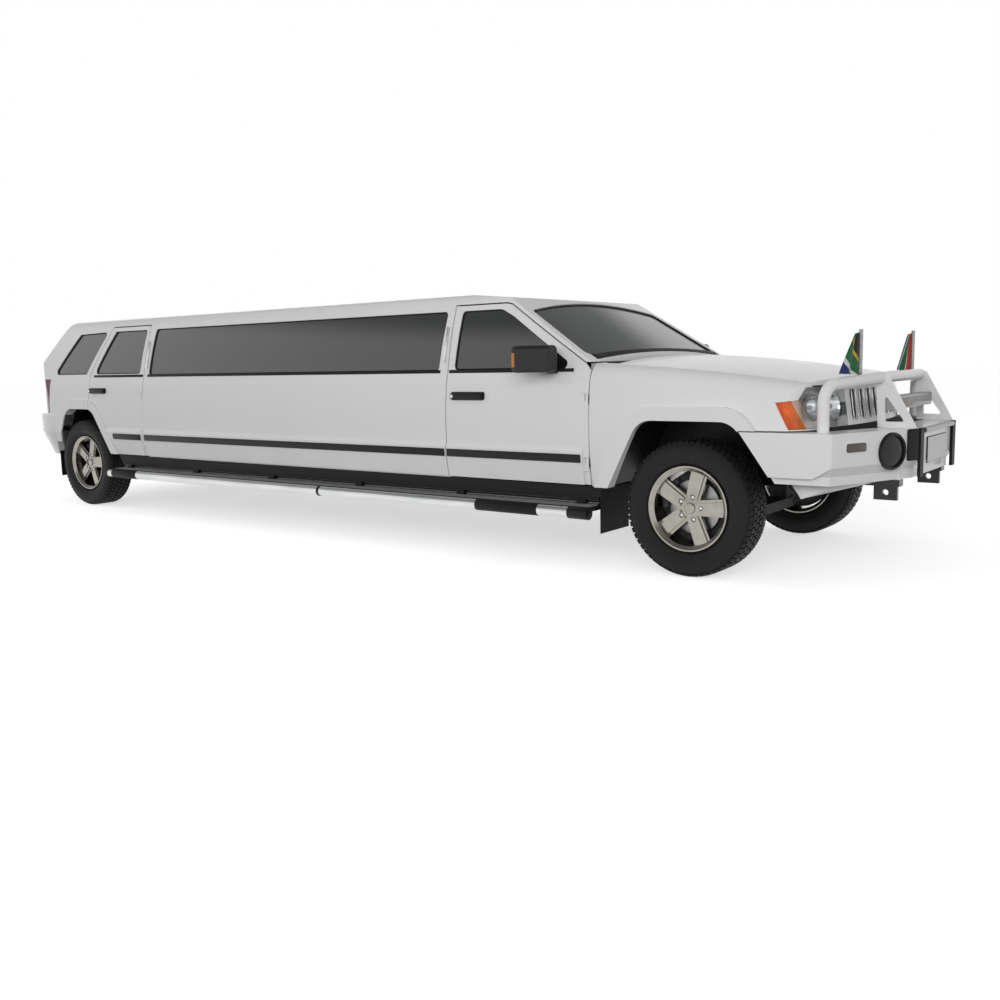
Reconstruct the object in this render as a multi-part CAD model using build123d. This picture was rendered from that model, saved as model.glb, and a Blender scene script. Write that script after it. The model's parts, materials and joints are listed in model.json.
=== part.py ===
from build123d import *
import math
import os

# Stretched four-door estate limousine with a steel bull bar, as separate panels, running gear,
# wheels, glass and cabin pieces. Millimetres, +X forward, +Y left, +Z up. The origin is on the
# ground under the middle of the vehicle.

# Driving dimensions

BASE_WHEELBASE = 2781.0        # wheelbase of the car before it was cut
STRETCH = 3048.0               # length let in behind the front doors
WHEELBASE = BASE_WHEELBASE + STRETCH
FRONT_OVERHANG = 1062.0        # front axle to the tip of the bull bar
REAR_OVERHANG = 1021.0         # rear axle to the rear bumper
TRACK = 1590.0
KINGPIN_TRACK = 1400.0
HUB_Z = 375.0                  # wheel centre above the ground

X_FRONT_AXLE = (WHEELBASE + REAR_OVERHANG - FRONT_OVERHANG) / 2
X_REAR_AXLE = X_FRONT_AXLE - WHEELBASE

GAP = 8.0                      # shut line round everything that opens
SEAT = 0.2                     # clearance of a piece in its seat
RUNNING = 0.06                 # radial clearance of a pin in its bore

SILL_BOTTOM_Z = 385.0
SILL_TOP_Z = 464.0
DOOR_BOTTOM_Z = SILL_TOP_Z + GAP
BELT_Z = 1130.0
ROOF_SPLIT_Z = 1540.0          # lower edge of the roof panel
DOOR_TOP_Z = ROOF_SPLIT_Z - GAP
ROOF_EDGE_Z = 1603.0
ROOF_Z = 1632.0

WALL = 70.0                    # thickness of doors and side walls
DOOR_SKIN = 12.0               # outer flange of a door
DOOR_STEP = 30.0               # inner part of a door is this much smaller all round
ROOF_WALL = 45.0
FENDER_WALL = 40.0
HOOD_WALL = 28.0
GLASS_DEPTH = 14.0             # glass lies this far below the outer skin
GLASS = 5.0

HINGE_INSET = 13.0             # hinge axis below the skin and behind the edge
PIN_R = 5.0
FAR = 3000.0                   # reach of a cutting prism


def front(x):
    """Station measured forward from the front axle."""
    return X_FRONT_AXLE + x


def rear(x):
    """Station measured forward from the rear axle."""
    return X_REAR_AXLE + x


# Small drawing helpers


def outline(points, radius=0.0, corners=None):
    """Closed flat outline; the listed corners, or all, get the radius."""
    face = make_face(Polyline(*points, close=True))
    if radius:
        wanted = points if corners is None else [points[i] for i in corners]
        picked = [v for v in face.vertices() if any(math.dist((v.X, v.Y), p[:2]) < 0.01 for p in wanted)]
        face = fillet(picked, radius)
    return face


def prism_y(face, y0, y1):
    """Outline drawn in X and Z, extended from y0 to y1."""
    return extrude(Plane.XZ.offset(-y0) * face, amount=-(y1 - y0))


def prism_x(face, x0, x1):
    """Outline drawn in Y and Z, extended from x0 to x1."""
    return extrude(Plane.YZ.offset(x0) * face, amount=x1 - x0)


def prism_z(face, z0, z1):
    """Outline drawn in X and Y, extended from z0 to z1."""
    return extrude(Plane.XY.offset(z0) * face, amount=z1 - z0)


def box(x0, x1, y0, y1, z0, z1):
    low = (min(x0, x1), min(y0, y1), min(z0, z1))
    size = (abs(x1 - x0), abs(y1 - y0), abs(z1 - z0))
    return Pos(*low) * Box(*size, align=(Align.MIN, Align.MIN, Align.MIN))


def rod_y(x, z, radius, y0, y1):
    return Pos(x, (y0 + y1) / 2, z) * Rot(90, 0, 0) * Cylinder(radius, abs(y1 - y0))


def rod_z(x, y, radius, z0, z1):
    return Pos(x, y, (z0 + z1) / 2) * Cylinder(radius, abs(z1 - z0))


def shifted(points, distance, closed=True):
    """The same corners with every side moved to its left by distance."""
    count = len(points)
    moved = []
    for i, (x, z) in enumerate(points):
        before = points[i - 1] if closed or i else None
        after = points[(i + 1) % count] if closed or i < count - 1 else None
        d1 = (x - before[0], z - before[1]) if before else (after[0] - x, after[1] - z)
        d2 = (after[0] - x, after[1] - z) if after else d1
        n1 = (-d1[1] / math.hypot(*d1), d1[0] / math.hypot(*d1))
        n2 = (-d2[1] / math.hypot(*d2), d2[0] / math.hypot(*d2))
        share = distance / (1 + n1[0] * n2[0] + n1[1] * n2[1])
        moved.append((x + (n1[0] + n2[0]) * share, z + (n1[1] + n2[1]) * share))
    return moved


def grown(points, distance):
    """A closed outline's corners moved outwards by distance."""
    area = sum(p[0] * q[1] - q[0] * p[1] for p, q in zip(points, points[1:] + points[:1]))
    return shifted(points, -distance if area > 0 else distance)


def strip(points, thickness):
    """Flat band of the given thickness on the left of a bent line."""
    return outline(list(points) + shifted(points, thickness, closed=False)[::-1])


def both(left):
    """A left piece and its mirror image, as separate solids."""
    return Compound(children=[*left.solids(), *mirror(left, about=Plane.XZ).solids()])


def right_of(left):
    return mirror(left, about=Plane.XZ)


parts = {}


# Body cross-section, shared by doors, walls, glass and roof

# columns: Y, Z, lean of the skin's normal above level in degrees
SECTION = dict(
    low=(890.0, 464.0, 0.0),
    mid=(920.0, 720.0, 0.0),
    high=(905.0, 1052.0, 4.0),
    belt=(886.0, BELT_Z, 11.0),
    glass_mid=(844.0, 1330.0, 13.5),
    glass_top=(786.0, 1520.0, 17.0),
    turn=(754.0, 1577.0, 47.0),
    edge=(690.0, ROOF_EDGE_Z, 84.0),
    crown=(0.0, ROOF_Z, 90.0),
)
SECTION_FOOT_Z = 250.0
SIDE_Y = SECTION["mid"][0]
HINGE_Y = SIDE_Y + 1.0 - HINGE_INSET


def inside(row, inset):
    """A point of a table moved in from the skin."""
    y, z, lean = row
    return (y - inset * math.cos(math.radians(lean)), z - inset * math.sin(math.radians(lean)))


def section(inset):
    """Closed cabin section, drawn in Y and Z, shrunk by inset."""
    at = {name: inside(row, inset) for name, row in SECTION.items()}
    foot = (at["low"][0], SECTION_FOOT_Z)
    edges = [Line((-foot[0], foot[1]), foot)]
    for sign in (1, -1):
        there = {name: (sign * y, z) for name, (y, z) in at.items()}
        edges.append(Line((sign * foot[0], foot[1]), there["low"]))
        edges.append(ThreePointArc(there["low"], there["mid"], there["high"]))
        edges.append(Line(there["high"], there["belt"]))
        edges.append(ThreePointArc(there["belt"], there["glass_mid"], there["glass_top"]))
        edges.append(ThreePointArc(there["glass_top"], there["turn"], there["edge"]))
    edges.append(ThreePointArc(at["edge"], at["crown"], (-at["edge"][0], at["edge"][1])))
    return make_face(edges)


def cabin_bar(inset, x0, x1):
    return prism_x(section(inset), x0, x1)


def side_layer(inner, outer, x0, x1):
    """Both side walls and roof between two depths below the skin."""
    return cabin_bar(inner, x0, x1) - cabin_bar(outer, x0 - 1, x1 + 1)


# Windscreen and tailgate slopes

SCREEN_BASE = (-530.0, 1175.0)     # on the centre line, from the front axle
SCREEN_TOP = (-1160.0, 1555.0)
SCREEN_SAG = 28.0                  # how far the screen falls back at its edge
SCREEN_HALF = 740.0
SCREEN_REACH = 12000.0
TAIL_TOP = (-335.0, 1560.0)        # from the rear axle
TAIL_BELT = (-800.0, 1110.0)


def screen_plane():
    dx = SCREEN_TOP[0] - SCREEN_BASE[0]
    dz = SCREEN_TOP[1] - SCREEN_BASE[1]
    return Plane(origin=(front(SCREEN_BASE[0]), 0, SCREEN_BASE[1]), x_dir=(0, 1, 0), z_dir=(dx, 0, dz))


def screen_keep(inset):
    """Everything behind the curved windscreen."""
    plane = screen_plane()
    up = 1.0 if plane.y_dir.Z > 0 else -1.0
    wide = 2 * SCREEN_HALF
    drop = SCREEN_SAG * 4
    arc = ThreePointArc((-wide, up * (-drop - inset)), (0, -up * inset), (wide, up * (-drop - inset)))
    low = -up * SCREEN_REACH
    back = Polyline((wide, up * (-drop - inset)), (wide, low), (-wide, low), (-wide, up * (-drop - inset)))
    return extrude(plane * make_face([arc, back]), amount=SCREEN_REACH, both=True)


def tail_keep(inset):
    """Everything ahead of the sloping tailgate."""
    dx, dz = TAIL_BELT[0] - TAIL_TOP[0], TAIL_BELT[1] - TAIL_TOP[1]
    length = math.hypot(dx, dz)
    nx, nz = -dz / length, dx / length
    nx, nz = (-abs(nx), abs(nz))
    top = (rear(TAIL_TOP[0]) - nx * inset - dx, TAIL_TOP[1] - nz * inset - dz)
    low = (rear(TAIL_BELT[0]) - nx * inset + 3 * dx, TAIL_BELT[1] - nz * inset + 3 * dz)
    return prism_y(outline([top, low, (rear(6000), low[1]), (rear(6000), top[1])]), -FAR, FAR)


# columns: X from the rear axle, Y, lean of the normal from sideways towards the rear in degrees
REAR_PLAN = dict(
    side=(-420.0, 925.0, 0.0),
    turn=(-660.0, 855.0, 37.0),
    corner=(-790.0, 700.0, 76.0),
    middle=(-905.0, 0.0, 90.0),
)


def rear_plan(inset):
    """Plan of the rear end: gentle tail, rounded corners."""
    at = {}
    for name, (x, y, lean) in REAR_PLAN.items():
        turn = math.radians(lean)
        at[name] = (rear(x) + inset * math.sin(turn), y - inset * math.cos(turn))
    ahead = rear(6000)
    edges = [ThreePointArc((at["corner"][0], -at["corner"][1]), at["middle"], at["corner"])]
    for sign in (1, -1):
        there = {name: (x, sign * y) for name, (x, y) in at.items()}
        edges.append(ThreePointArc(there["side"], there["turn"], there["corner"]))
        edges.append(Line(there["side"], (ahead, there["side"][1])))
    edges.append(Line((ahead, -at["side"][1]), (ahead, at["side"][1])))
    return prism_z(make_face(edges), 0, 2000)


def rear_body(inset):
    return cabin_bar(inset, rear(-1100), rear(1000)) & rear_plan(inset) & tail_keep(inset)


# Wheel arches: lower corners at sill height, upper corners, corner radius

ARCH_FOOT_Z = 430.0
ARCH_R = 130.0
FRONT_ARCH = dict(foot_back=-497.0, top_back=-285.0, top_front=262.0, foot_front=560.0, top_z=850.0)
REAR_ARCH = dict(foot_back=-438.0, top_back=-220.0, top_front=170.0, foot_front=462.0, top_z=846.0)


def arch_face(arch, at, grow=0.0):
    """Trapezoid arch with rounded upper corners, grown outwards by grow."""
    points = [
        (at(arch["foot_back"]), ARCH_FOOT_Z),
        (at(arch["top_back"]), arch["top_z"]),
        (at(arch["top_front"]), arch["top_z"]),
        (at(arch["foot_front"]), ARCH_FOOT_Z),
    ]
    dx1, dz1 = points[1][0] - points[0][0], points[1][1] - points[0][1]
    dx2, dz2 = points[3][0] - points[2][0], points[3][1] - points[2][1]
    reach = 260.0
    points[0] = (points[0][0] - dx1 / dz1 * reach, points[0][1] - reach)
    points[3] = (points[3][0] - dx2 / dz2 * reach, points[3][1] - reach)
    return outline(grown(points, grow), ARCH_R + grow, corners=(1, 2))


FLARE_WIDTH = 78.0
FLARE_PROUD = 14.0
FLARE_DEPTH = 26.0


def flare(arch, at, skin_y):
    """Raised lip round a wheel arch, with a bevelled outer edge."""
    lip = prism_y(arch_face(arch, at, FLARE_WIDTH), skin_y - FLARE_DEPTH, skin_y + FLARE_PROUD)
    return lip - prism_y(arch_face(arch, at), 0, FAR)


# Doors: outlines in X and Z

FRONT_DOOR_FRONT = -608.0          # from the front axle
FRONT_DOOR_REAR = -1657.0
REAR_DOOR_FRONT = 921.0            # from the rear axle
REAR_DOOR_REAR = 135.0
PILLAR_FOOT = (-644.0, 1165.0)     # front edge of the front door's frame
PILLAR_HEAD = (-1226.0, 1525.0)
REAR_PILLAR_FOOT = 142.0
REAR_PILLAR_HEAD = 385.0

FRONT_DOOR = [
    (front(FRONT_DOOR_FRONT), DOOR_BOTTOM_Z),
    (front(FRONT_DOOR_FRONT), BELT_Z - 5),
    (front(PILLAR_FOOT[0]), PILLAR_FOOT[1]),
    (front(PILLAR_HEAD[0]), PILLAR_HEAD[1]),
    (front(PILLAR_HEAD[0]) - 40, DOOR_TOP_Z),
    (front(FRONT_DOOR_REAR), DOOR_TOP_Z),
    (front(FRONT_DOOR_REAR), DOOR_BOTTOM_Z),
]
REAR_DOOR = [
    (rear(REAR_DOOR_FRONT), DOOR_BOTTOM_Z),
    (rear(REAR_DOOR_FRONT), DOOR_TOP_Z),
    (rear(REAR_PILLAR_HEAD), DOOR_TOP_Z),
    (rear(REAR_PILLAR_FOOT), BELT_Z),
    (rear(REAR_DOOR_REAR), DOOR_BOTTOM_Z),
]
FRONT_WINDOW = [
    (front(-1612), BELT_Z + 6),
    (front(-1600), 1500.0),
    (front(-1290), 1500.0),
    (front(-1190), 1450.0),
    (front(-700), BELT_Z + 6),
]
REAR_WINDOW = [
    (rear(868), BELT_Z + 14),
    (rear(890), 1500.0),
    (rear(432), 1500.0),
    (rear(200), BELT_Z + 14),
]
LONG_WINDOW = [
    (rear(985), BELT_Z + 2),
    (rear(1005), 1502.0),
    (front(-1716), 1502.0),
    (front(-1736), BELT_Z + 2),
]
QUARTER_WINDOW = [
    (rear(76), BELT_Z + 14),
    (rear(328), 1500.0),
    (rear(-110), 1490.0),
    (rear(-440), BELT_Z + 14),
]
WINDOW_R = 28.0
KNEE_R = 110.0


def window_face(points, shrink=0.0, knee=None):
    points = grown(points, -shrink)
    face = outline(points, WINDOW_R - shrink, corners=[i for i in range(len(points)) if i != knee])
    if knee is not None:
        at = points[knee]
        face = fillet([v for v in face.vertices() if math.dist((v.X, v.Y), at) < 0.01], KNEE_R - shrink)
    return face


FRONT_KNEE = 2

# columns: Y, Z of the lower cladding's face, from the doors' lower edge up to its ledge
CLADDING = [(904.0, DOOR_BOTTOM_Z), (927.0, 600.0), (932.0, 662.0), (918.0, 694.0)]
CLADDING_START = 36.0              # cladding starts this far behind a hinge edge


def cladding(x0, x1):
    inner = SIDE_Y - 60
    face = outline([(inner, DOOR_BOTTOM_Z)] + CLADDING + [(inner, CLADDING[-1][1])])
    return prism_x(face, x0, x1) - cabin_bar(DOOR_SKIN / 2, x0 - 1, x1 + 1)


def door(points, window, knee, arch):
    """Left door: outer flange, smaller inner body, window opening."""
    x0 = min(p[0] for p in points) - 50
    x1 = max(p[0] for p in points) + 50
    full = prism_y(outline(points), 300, FAR)
    core = prism_y(outline(grown(points, -DOOR_STEP)), 300, FAR)
    panel = side_layer(0, DOOR_SKIN, x0, x1) & full
    panel = panel + (side_layer(DOOR_SKIN, WALL, x0, x1) & core)
    panel = panel + (cladding(x0, max(p[0] for p in points) - CLADDING_START) & full)
    if arch:
        keep_out, at = arch
        panel = panel + (flare(keep_out, at, SIDE_Y - 4) & full)
        panel = panel - prism_y(arch_face(keep_out, at), 0, FAR)
        panel = panel - prism_y(arch_face(keep_out, at, DOOR_STEP), 0, SIDE_Y - 30)
    return panel - prism_y(window_face(window, knee=knee), 0, FAR)


def pane(window, knee=None):
    """Left side window between two depths below the skin."""
    x0 = min(p[0] for p in window) - 50
    x1 = max(p[0] for p in window) + 50
    layer = side_layer(GLASS_DEPTH, GLASS_DEPTH + GLASS, x0, x1)
    return layer & prism_y(window_face(window, SEAT, knee), 300, FAR)


# Leaf hinges: an arm on the fixed side carries a pin, bosses on the moving side turn on it.
# Drawn from the corner of edge and skin: x towards the pillar, y outwards, z along the pin.

HINGE_TALL = 60.0
PIN_BITE = 14.0
BOSS_R = HINGE_INSET
DOOR_LEG = (-90.0, -66.0)          # depth of the leg that runs to the pillar
TAIL_LEG = (-43.0, -24.0)
DOOR_HINGES = (600.0, 960.0)
TAIL_HINGES = (-420.0, 420.0)


def hinge_bosses(frame, places):
    made = []
    for z in places:
        for end in (-1, 1):
            low = z + end * HINGE_TALL / 2
            high = low + end * (PIN_BITE + 4)
            boss = rod_z(-HINGE_INSET, -HINGE_INSET, BOSS_R, low, high)
            boss += box(-50, -HINGE_INSET, -HINGE_INSET - 12, -4, low, high)
            boss += box(-HINGE_INSET, -4, -HINGE_INSET, -4, low, high)
            made.append(frame.location * boss)
    return made


def hinge_room(frame, places):
    made = []
    for z in places:
        room = box(-HINGE_INSET - 12, 60, -140, -HINGE_INSET + 8, z - HINGE_TALL / 2, z + HINGE_TALL / 2)
        reach = HINGE_TALL / 2 + PIN_BITE + 1
        room += rod_z(-HINGE_INSET, -HINGE_INSET, PIN_R + RUNNING, z - reach, z + reach)
        made.append(frame.location * room)
    return made


def hinge_arms(frame, places, leg):
    made = []
    for z in places:
        half = HINGE_TALL / 2 - GAP
        arm = rod_z(-HINGE_INSET, -HINGE_INSET, 7, z - half, z + half)
        arm += box(-HINGE_INSET - 6, -HINGE_INSET + 6, leg[0], -HINGE_INSET, z - half, z + half)
        arm += box(-HINGE_INSET - 6, GAP + 2, leg[0], leg[1], z - half, z + half)
        reach = HINGE_TALL / 2 + PIN_BITE
        arm += rod_z(-HINGE_INSET, -HINGE_INSET, PIN_R, z - reach, z + reach)
        made.append(frame.location * arm)
    return made


def edge_loss(frame, low, high):
    """What the outer edge loses so that it turns about the pin."""
    corner = box(-HINGE_INSET, 20, -HINGE_INSET, 60, low, high)
    corner -= rod_z(-HINGE_INSET, -HINGE_INSET, HINGE_INSET, low - 1, high + 1)
    return frame.location * corner


def door_frame(edge_x):
    return Plane(origin=(edge_x, HINGE_Y + HINGE_INSET, 0), x_dir=(1, 0, 0), z_dir=(0, 0, 1))


def hung(panel, frame, places, low, high):
    """A panel with bosses, pin bores and a turned edge."""
    for boss in hinge_bosses(frame, places):
        panel += boss
    for room in hinge_room(frame, places):
        panel -= room
    return panel - edge_loss(frame, low, high)


def make_doors():
    frame = door_frame(front(FRONT_DOOR_FRONT))
    left = hung(door(FRONT_DOOR, FRONT_WINDOW, FRONT_KNEE, None), frame, DOOR_HINGES, 300, 1700)
    parts["door_front_left"], parts["door_front_right"] = left, right_of(left)
    glass = pane(FRONT_WINDOW, FRONT_KNEE)
    parts["window_front_left"], parts["window_front_right"] = glass, right_of(glass)
    frame = door_frame(rear(REAR_DOOR_FRONT))
    left = hung(door(REAR_DOOR, REAR_WINDOW, None, (REAR_ARCH, rear)), frame, DOOR_HINGES, 300, 1700)
    parts["door_rear_left"], parts["door_rear_right"] = left, right_of(left)
    glass = pane(REAR_WINDOW)
    parts["window_rear_left"], parts["window_rear_right"] = glass, right_of(glass)
    mirror_body = make_mirror()
    parts["mirror_left"], parts["mirror_right"] = mirror_body, right_of(mirror_body)


MIRROR = dict(front=-785.0, back=-1005.0, inner=935.0, outer=1120.0, bottom=1118.0, top=1272.0)
MIRROR_R = 28.0


def make_mirror():
    """Door mirror: rounded housing on a foot that stands on the door skin."""
    m = MIRROR
    plan = outline([
        (front(m["back"]), m["inner"]),
        (front(m["back"]), m["outer"]),
        (front(m["back"]) + 62, m["outer"]),
        (front(m["front"]) - 12, m["inner"] + 92),
        (front(m["front"]), m["inner"]),
    ])
    shell = fillet(prism_z(plan, m["bottom"], m["top"]).edges(), MIRROR_R)
    foot = prism_x(outline([(860, 1090), (960, 1150), (960, 1200), (860, 1128)]), front(-900), front(-830))
    skin = cabin_bar(-SEAT, front(-1100), front(-700))
    return (shell + foot) - skin


# Stretch walls, rear quarters, roof, tailgate


def make_walls():
    x0 = rear(REAR_DOOR_FRONT) + GAP
    x1 = front(FRONT_DOOR_REAR) - GAP
    face = outline([(x0, SILL_TOP_Z), (x1, SILL_TOP_Z), (x1, ROOF_SPLIT_Z), (x0, ROOF_SPLIT_Z)])
    wall = side_layer(0, WALL, x0 - 20, x1 + 20) & prism_y(face, 300, FAR)
    wall += cladding(x0, x1)
    wall -= prism_y(window_face(LONG_WINDOW), 0, FAR)
    for arm in hinge_arms(door_frame(rear(REAR_DOOR_FRONT)), DOOR_HINGES, DOOR_LEG):
        wall += arm
    parts["side_panel_left"], parts["side_panel_right"] = wall, right_of(wall)


TAIL_HALF = 640.0                  # half width of the tailgate
TAIL_BOTTOM_Z = 800.0
TAIL_START = 86.0                  # tailgate starts this far down the slope
TAIL_WALL = 60.0
BUMPER_TOP_Z = 792.0
LAMP = dict(front=-505.0, bottom=806.0, top=1106.0)


def tail_frame():
    """Slope of the tailgate: origin at its upper edge, x up the slope, y out."""
    dx, dz = TAIL_TOP[0] - TAIL_BELT[0], TAIL_TOP[1] - TAIL_BELT[1]
    length = math.hypot(dx, dz)
    ux, uz = dx / length, dz / length
    origin = (rear(TAIL_TOP[0]) - ux * TAIL_START, 0, TAIL_TOP[1] - uz * TAIL_START)
    return Plane(origin=origin, x_dir=(ux, 0, uz), z_dir=(0, -1, 0))


def tail_zone(start, half_y):
    """Room of the tailgate from a line across the slope downwards."""
    zone = box(start, -2500, -500, 400, -half_y, half_y)
    return tail_frame().location * zone


def lamp_zone(grow):
    x = rear(LAMP["front"]) + grow
    low, high = LAMP["bottom"] - grow, LAMP["top"] + grow
    face = outline([(x, low), (x + 12, high), (rear(-2000), high), (rear(-2000), low)])
    return prism_y(face, TAIL_HALF + GAP, FAR)


def make_rear():
    skin = rear_body(0)
    shell = skin - rear_body(WALL)
    quarter_face = outline([
        (rear(REAR_DOOR_REAR) - GAP, DOOR_BOTTOM_Z),
        (rear(REAR_PILLAR_FOOT) - GAP, BELT_Z),
        (rear(REAR_PILLAR_HEAD) - GAP, DOOR_TOP_Z),
        (rear(REAR_PILLAR_HEAD) - GAP, ROOF_SPLIT_Z),
        (rear(-1100), ROOF_SPLIT_Z),
        (rear(-1100), BUMPER_TOP_Z),
        (rear(-100), BUMPER_TOP_Z),
        (rear(-100), DOOR_BOTTOM_Z),
    ])
    region = prism_y(quarter_face, 300, FAR)
    quarter = shell & region
    quarter += flare(REAR_ARCH, rear, SIDE_Y - 4) & region
    quarter -= prism_y(arch_face(REAR_ARCH, rear), 0, FAR)
    quarter -= tail_zone(GAP, TAIL_HALF + GAP) & box(rear(-2000), rear(-300), 0, FAR, TAIL_BOTTOM_Z - GAP, 1700)
    quarter -= box(rear(-2000), rear(-700), 0, TAIL_HALF + GAP, 0, 1480)
    quarter -= box(rear(-2000), rear(-250), 0, TAIL_HALF, 1400, 1700)
    quarter -= prism_y(window_face(QUARTER_WINDOW), 0, FAR)
    quarter -= lamp_zone(SEAT)
    parts["quarter_left"], parts["quarter_right"] = quarter, right_of(quarter)
    lamp = (skin - rear_body(50)) & lamp_zone(0)
    parts["tail_lamps"] = both(lamp)

    frame = tail_frame()
    gate = (skin - rear_body(TAIL_WALL)) & tail_zone(0, TAIL_HALF)
    gate &= box(rear(-2000), rear(-300), -TAIL_HALF, TAIL_HALF, TAIL_BOTTOM_Z, 1700)
    gate = hung(gate, frame, TAIL_HINGES, -TAIL_HALF - 5, TAIL_HALF + 5)
    glass_face = outline([(-70, -560), (-70, 560), (-520, 585), (-520, -585)], 45)
    pick = Plane(origin=frame.origin, x_dir=frame.x_dir, z_dir=frame.y_dir)
    gate -= pick.location * extrude(glass_face, amount=200, both=True)
    parts["tailgate"] = gate
    clear = outline(grown([(-70, -560), (-70, 560), (-520, 585), (-520, -585)], -SEAT), 45 - SEAT)
    layer = rear_body(GLASS_DEPTH) - rear_body(GLASS_DEPTH + GLASS)
    parts["tailgate_window"] = layer & (pick.location * extrude(clear, amount=200, both=True)) & tail_zone(0, TAIL_HALF)


# The roof falls towards the windscreen along this line
BROW = ((-1900.0, ROOF_Z), (-1100.0, 1556.0))


def brow_keep(inset):
    """Everything below the falling front of the roof."""
    (x0, z0), (x1, z1) = BROW
    fall = (z1 - z0) / (x1 - x0)
    top = [(rear(-1500), z0), (front(x0), z0), (front(0), z0 + fall * (0 - x0))]
    top = [(x, z - inset) for x, z in top]
    return prism_y(outline(top + [(front(0), 0), (rear(-1500), 0)]), -FAR, FAR)


def cab_body(inset):
    body = cabin_bar(inset, rear(-1100), front(-300)) & screen_keep(inset) & tail_keep(inset)
    return body & rear_plan(inset) & brow_keep(inset)


# Windscreen opening: half width across, distance up the slope from its foot
SCREEN_FOOT = (829.0, 128.0)
SCREEN_HEAD = (752.0, 650.0)
SCREEN_CROWN = 718.0
SCREEN_R = 45.0
SCREEN_FRONT = -612.0              # lower edge of the windscreen frame


def screen_prism(shrink):
    plane = screen_plane()
    out = Plane(origin=plane.origin, x_dir=(0, 1, 0), z_dir=plane.y_dir * (1 if plane.y_dir.Z > 0 else -1))
    foot = (SCREEN_FOOT[0] - shrink, SCREEN_FOOT[1] + shrink)
    head = (SCREEN_HEAD[0] - shrink, SCREEN_HEAD[1] - shrink)
    edges = [
        Line((-foot[0], foot[1]), foot),
        Line(foot, head),
        ThreePointArc(head, (0, SCREEN_CROWN - shrink), (-head[0], head[1])),
        Line((-head[0], head[1]), (-foot[0], foot[1])),
    ]
    face = make_face(edges)
    face = fillet(face.vertices(), SCREEN_R - shrink)
    return out.location * extrude(face, amount=300, both=True)


def make_roof():
    shell = cab_body(0) - cab_body(ROOF_WALL)
    line = [(front(x), z) for x, z in (PILLAR_FOOT, PILLAR_HEAD)]
    line = shifted(line, -GAP, closed=False)
    region = outline([
        (rear(-1100), ROOF_SPLIT_Z),
        (front(PILLAR_HEAD[0]) - 40, ROOF_SPLIT_Z),
        line[1],
        line[0],
        (front(SCREEN_FRONT), line[0][1]),
        (front(SCREEN_FRONT), 1800),
        (rear(-1100), 1800),
    ])
    roof = shell & prism_y(region, -FAR, FAR)
    header = shell & box(rear(-700), rear(-322), -TAIL_HALF, TAIL_HALF, 1400, ROOF_SPLIT_Z)
    roof = roof + (header - tail_zone(GAP, TAIL_HALF + 1))
    roof -= tail_zone(GAP, TAIL_HALF + GAP)
    roof -= screen_prism(0)
    for arm in hinge_arms(tail_frame(), TAIL_HINGES, TAIL_LEG):
        roof += arm
    parts["roof"] = roof
    layer = cab_body(GLASS_DEPTH) - cab_body(GLASS_DEPTH + GLASS)
    parts["windscreen"] = layer & screen_prism(SEAT)
    sides = pane(LONG_WINDOW)
    quarter_layer = rear_body(GLASS_DEPTH) - rear_body(GLASS_DEPTH + GLASS)
    quarter = quarter_layer & prism_y(window_face(QUARTER_WINDOW, SEAT), 300, FAR)
    parts["fixed_windows"] = Compound(children=[*both(sides).solids(), *both(quarter).solids()])


# Front end: wings, bonnet, lamps and grille from one lofted nose

# columns for each station: Y, Z, lean of the normal in degrees
NOSE_ROWS = {
    -600.0: dict(
        low=(890, 464, 0), mid=(920, 720, 0), high=(905, 1052, 6),
        turn=(872, 1128, 48), edge=(795, 1164, 78), crown=(0, 1205, 90),
    ),
    0.0: dict(
        low=(890, 464, 0), mid=(920, 700, 0), high=(903, 985, 6),
        turn=(868, 1075, 48), edge=(782, 1120, 76), crown=(0, 1172, 90),
    ),
    760.0: dict(
        low=(838, 464, 0), mid=(852, 690, 0), high=(832, 905, 6),
        turn=(796, 985, 48), edge=(705, 1024, 76), crown=(0, 1062, 90),
    ),
}
# columns: X from the front axle, Y, lean of the normal from sideways towards the front
NOSE_PLAN = dict(
    side=(360.0, 940.0, 0.0),
    turn=(520.0, 880.0, 38.0),
    corner=(610.0, 770.0, 72.0),
    middle=(722.0, 0.0, 90.0),
)
NOSE_LEAN = 0.14
NOSE_REF_Z = 900.0
HOOD_EDGE = ((-600.0, 792.0), (760.0, 702.0))
HOOD_REAR = -484.0
HOOD_LIP_Z = 1030.0
GRILLE_HALF = 424.0
GRILLE_BOTTOM_Z = 812.0
GRILLE_TOP_Z = 1022.0
FENDER_FRONT_Z = 806.0
LAMP_FACE = [
    (475.0, 949.0), (575.0, 960.0), (596.0, GRILLE_TOP_Z),
    (900.0, GRILLE_TOP_Z), (900.0, GRILLE_BOTTOM_Z), (548.0, GRILLE_BOTTOM_Z),
]


def nose_section(x, inset):
    at = {name: inside(row, inset) for name, row in NOSE_ROWS[x].items()}
    edges = [Line((-at["low"][0], 464), (at["low"][0], 464))]
    for sign in (1, -1):
        there = {name: (sign * y, z) for name, (y, z) in at.items()}
        edges.append(ThreePointArc((there["low"][0], 464), there["mid"], there["high"]))
        edges.append(ThreePointArc(there["high"], there["turn"], there["edge"]))
    edges.append(ThreePointArc(at["edge"], at["crown"], (-at["edge"][0], at["edge"][1])))
    return Plane.YZ.offset(front(x)) * make_face(edges)


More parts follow.
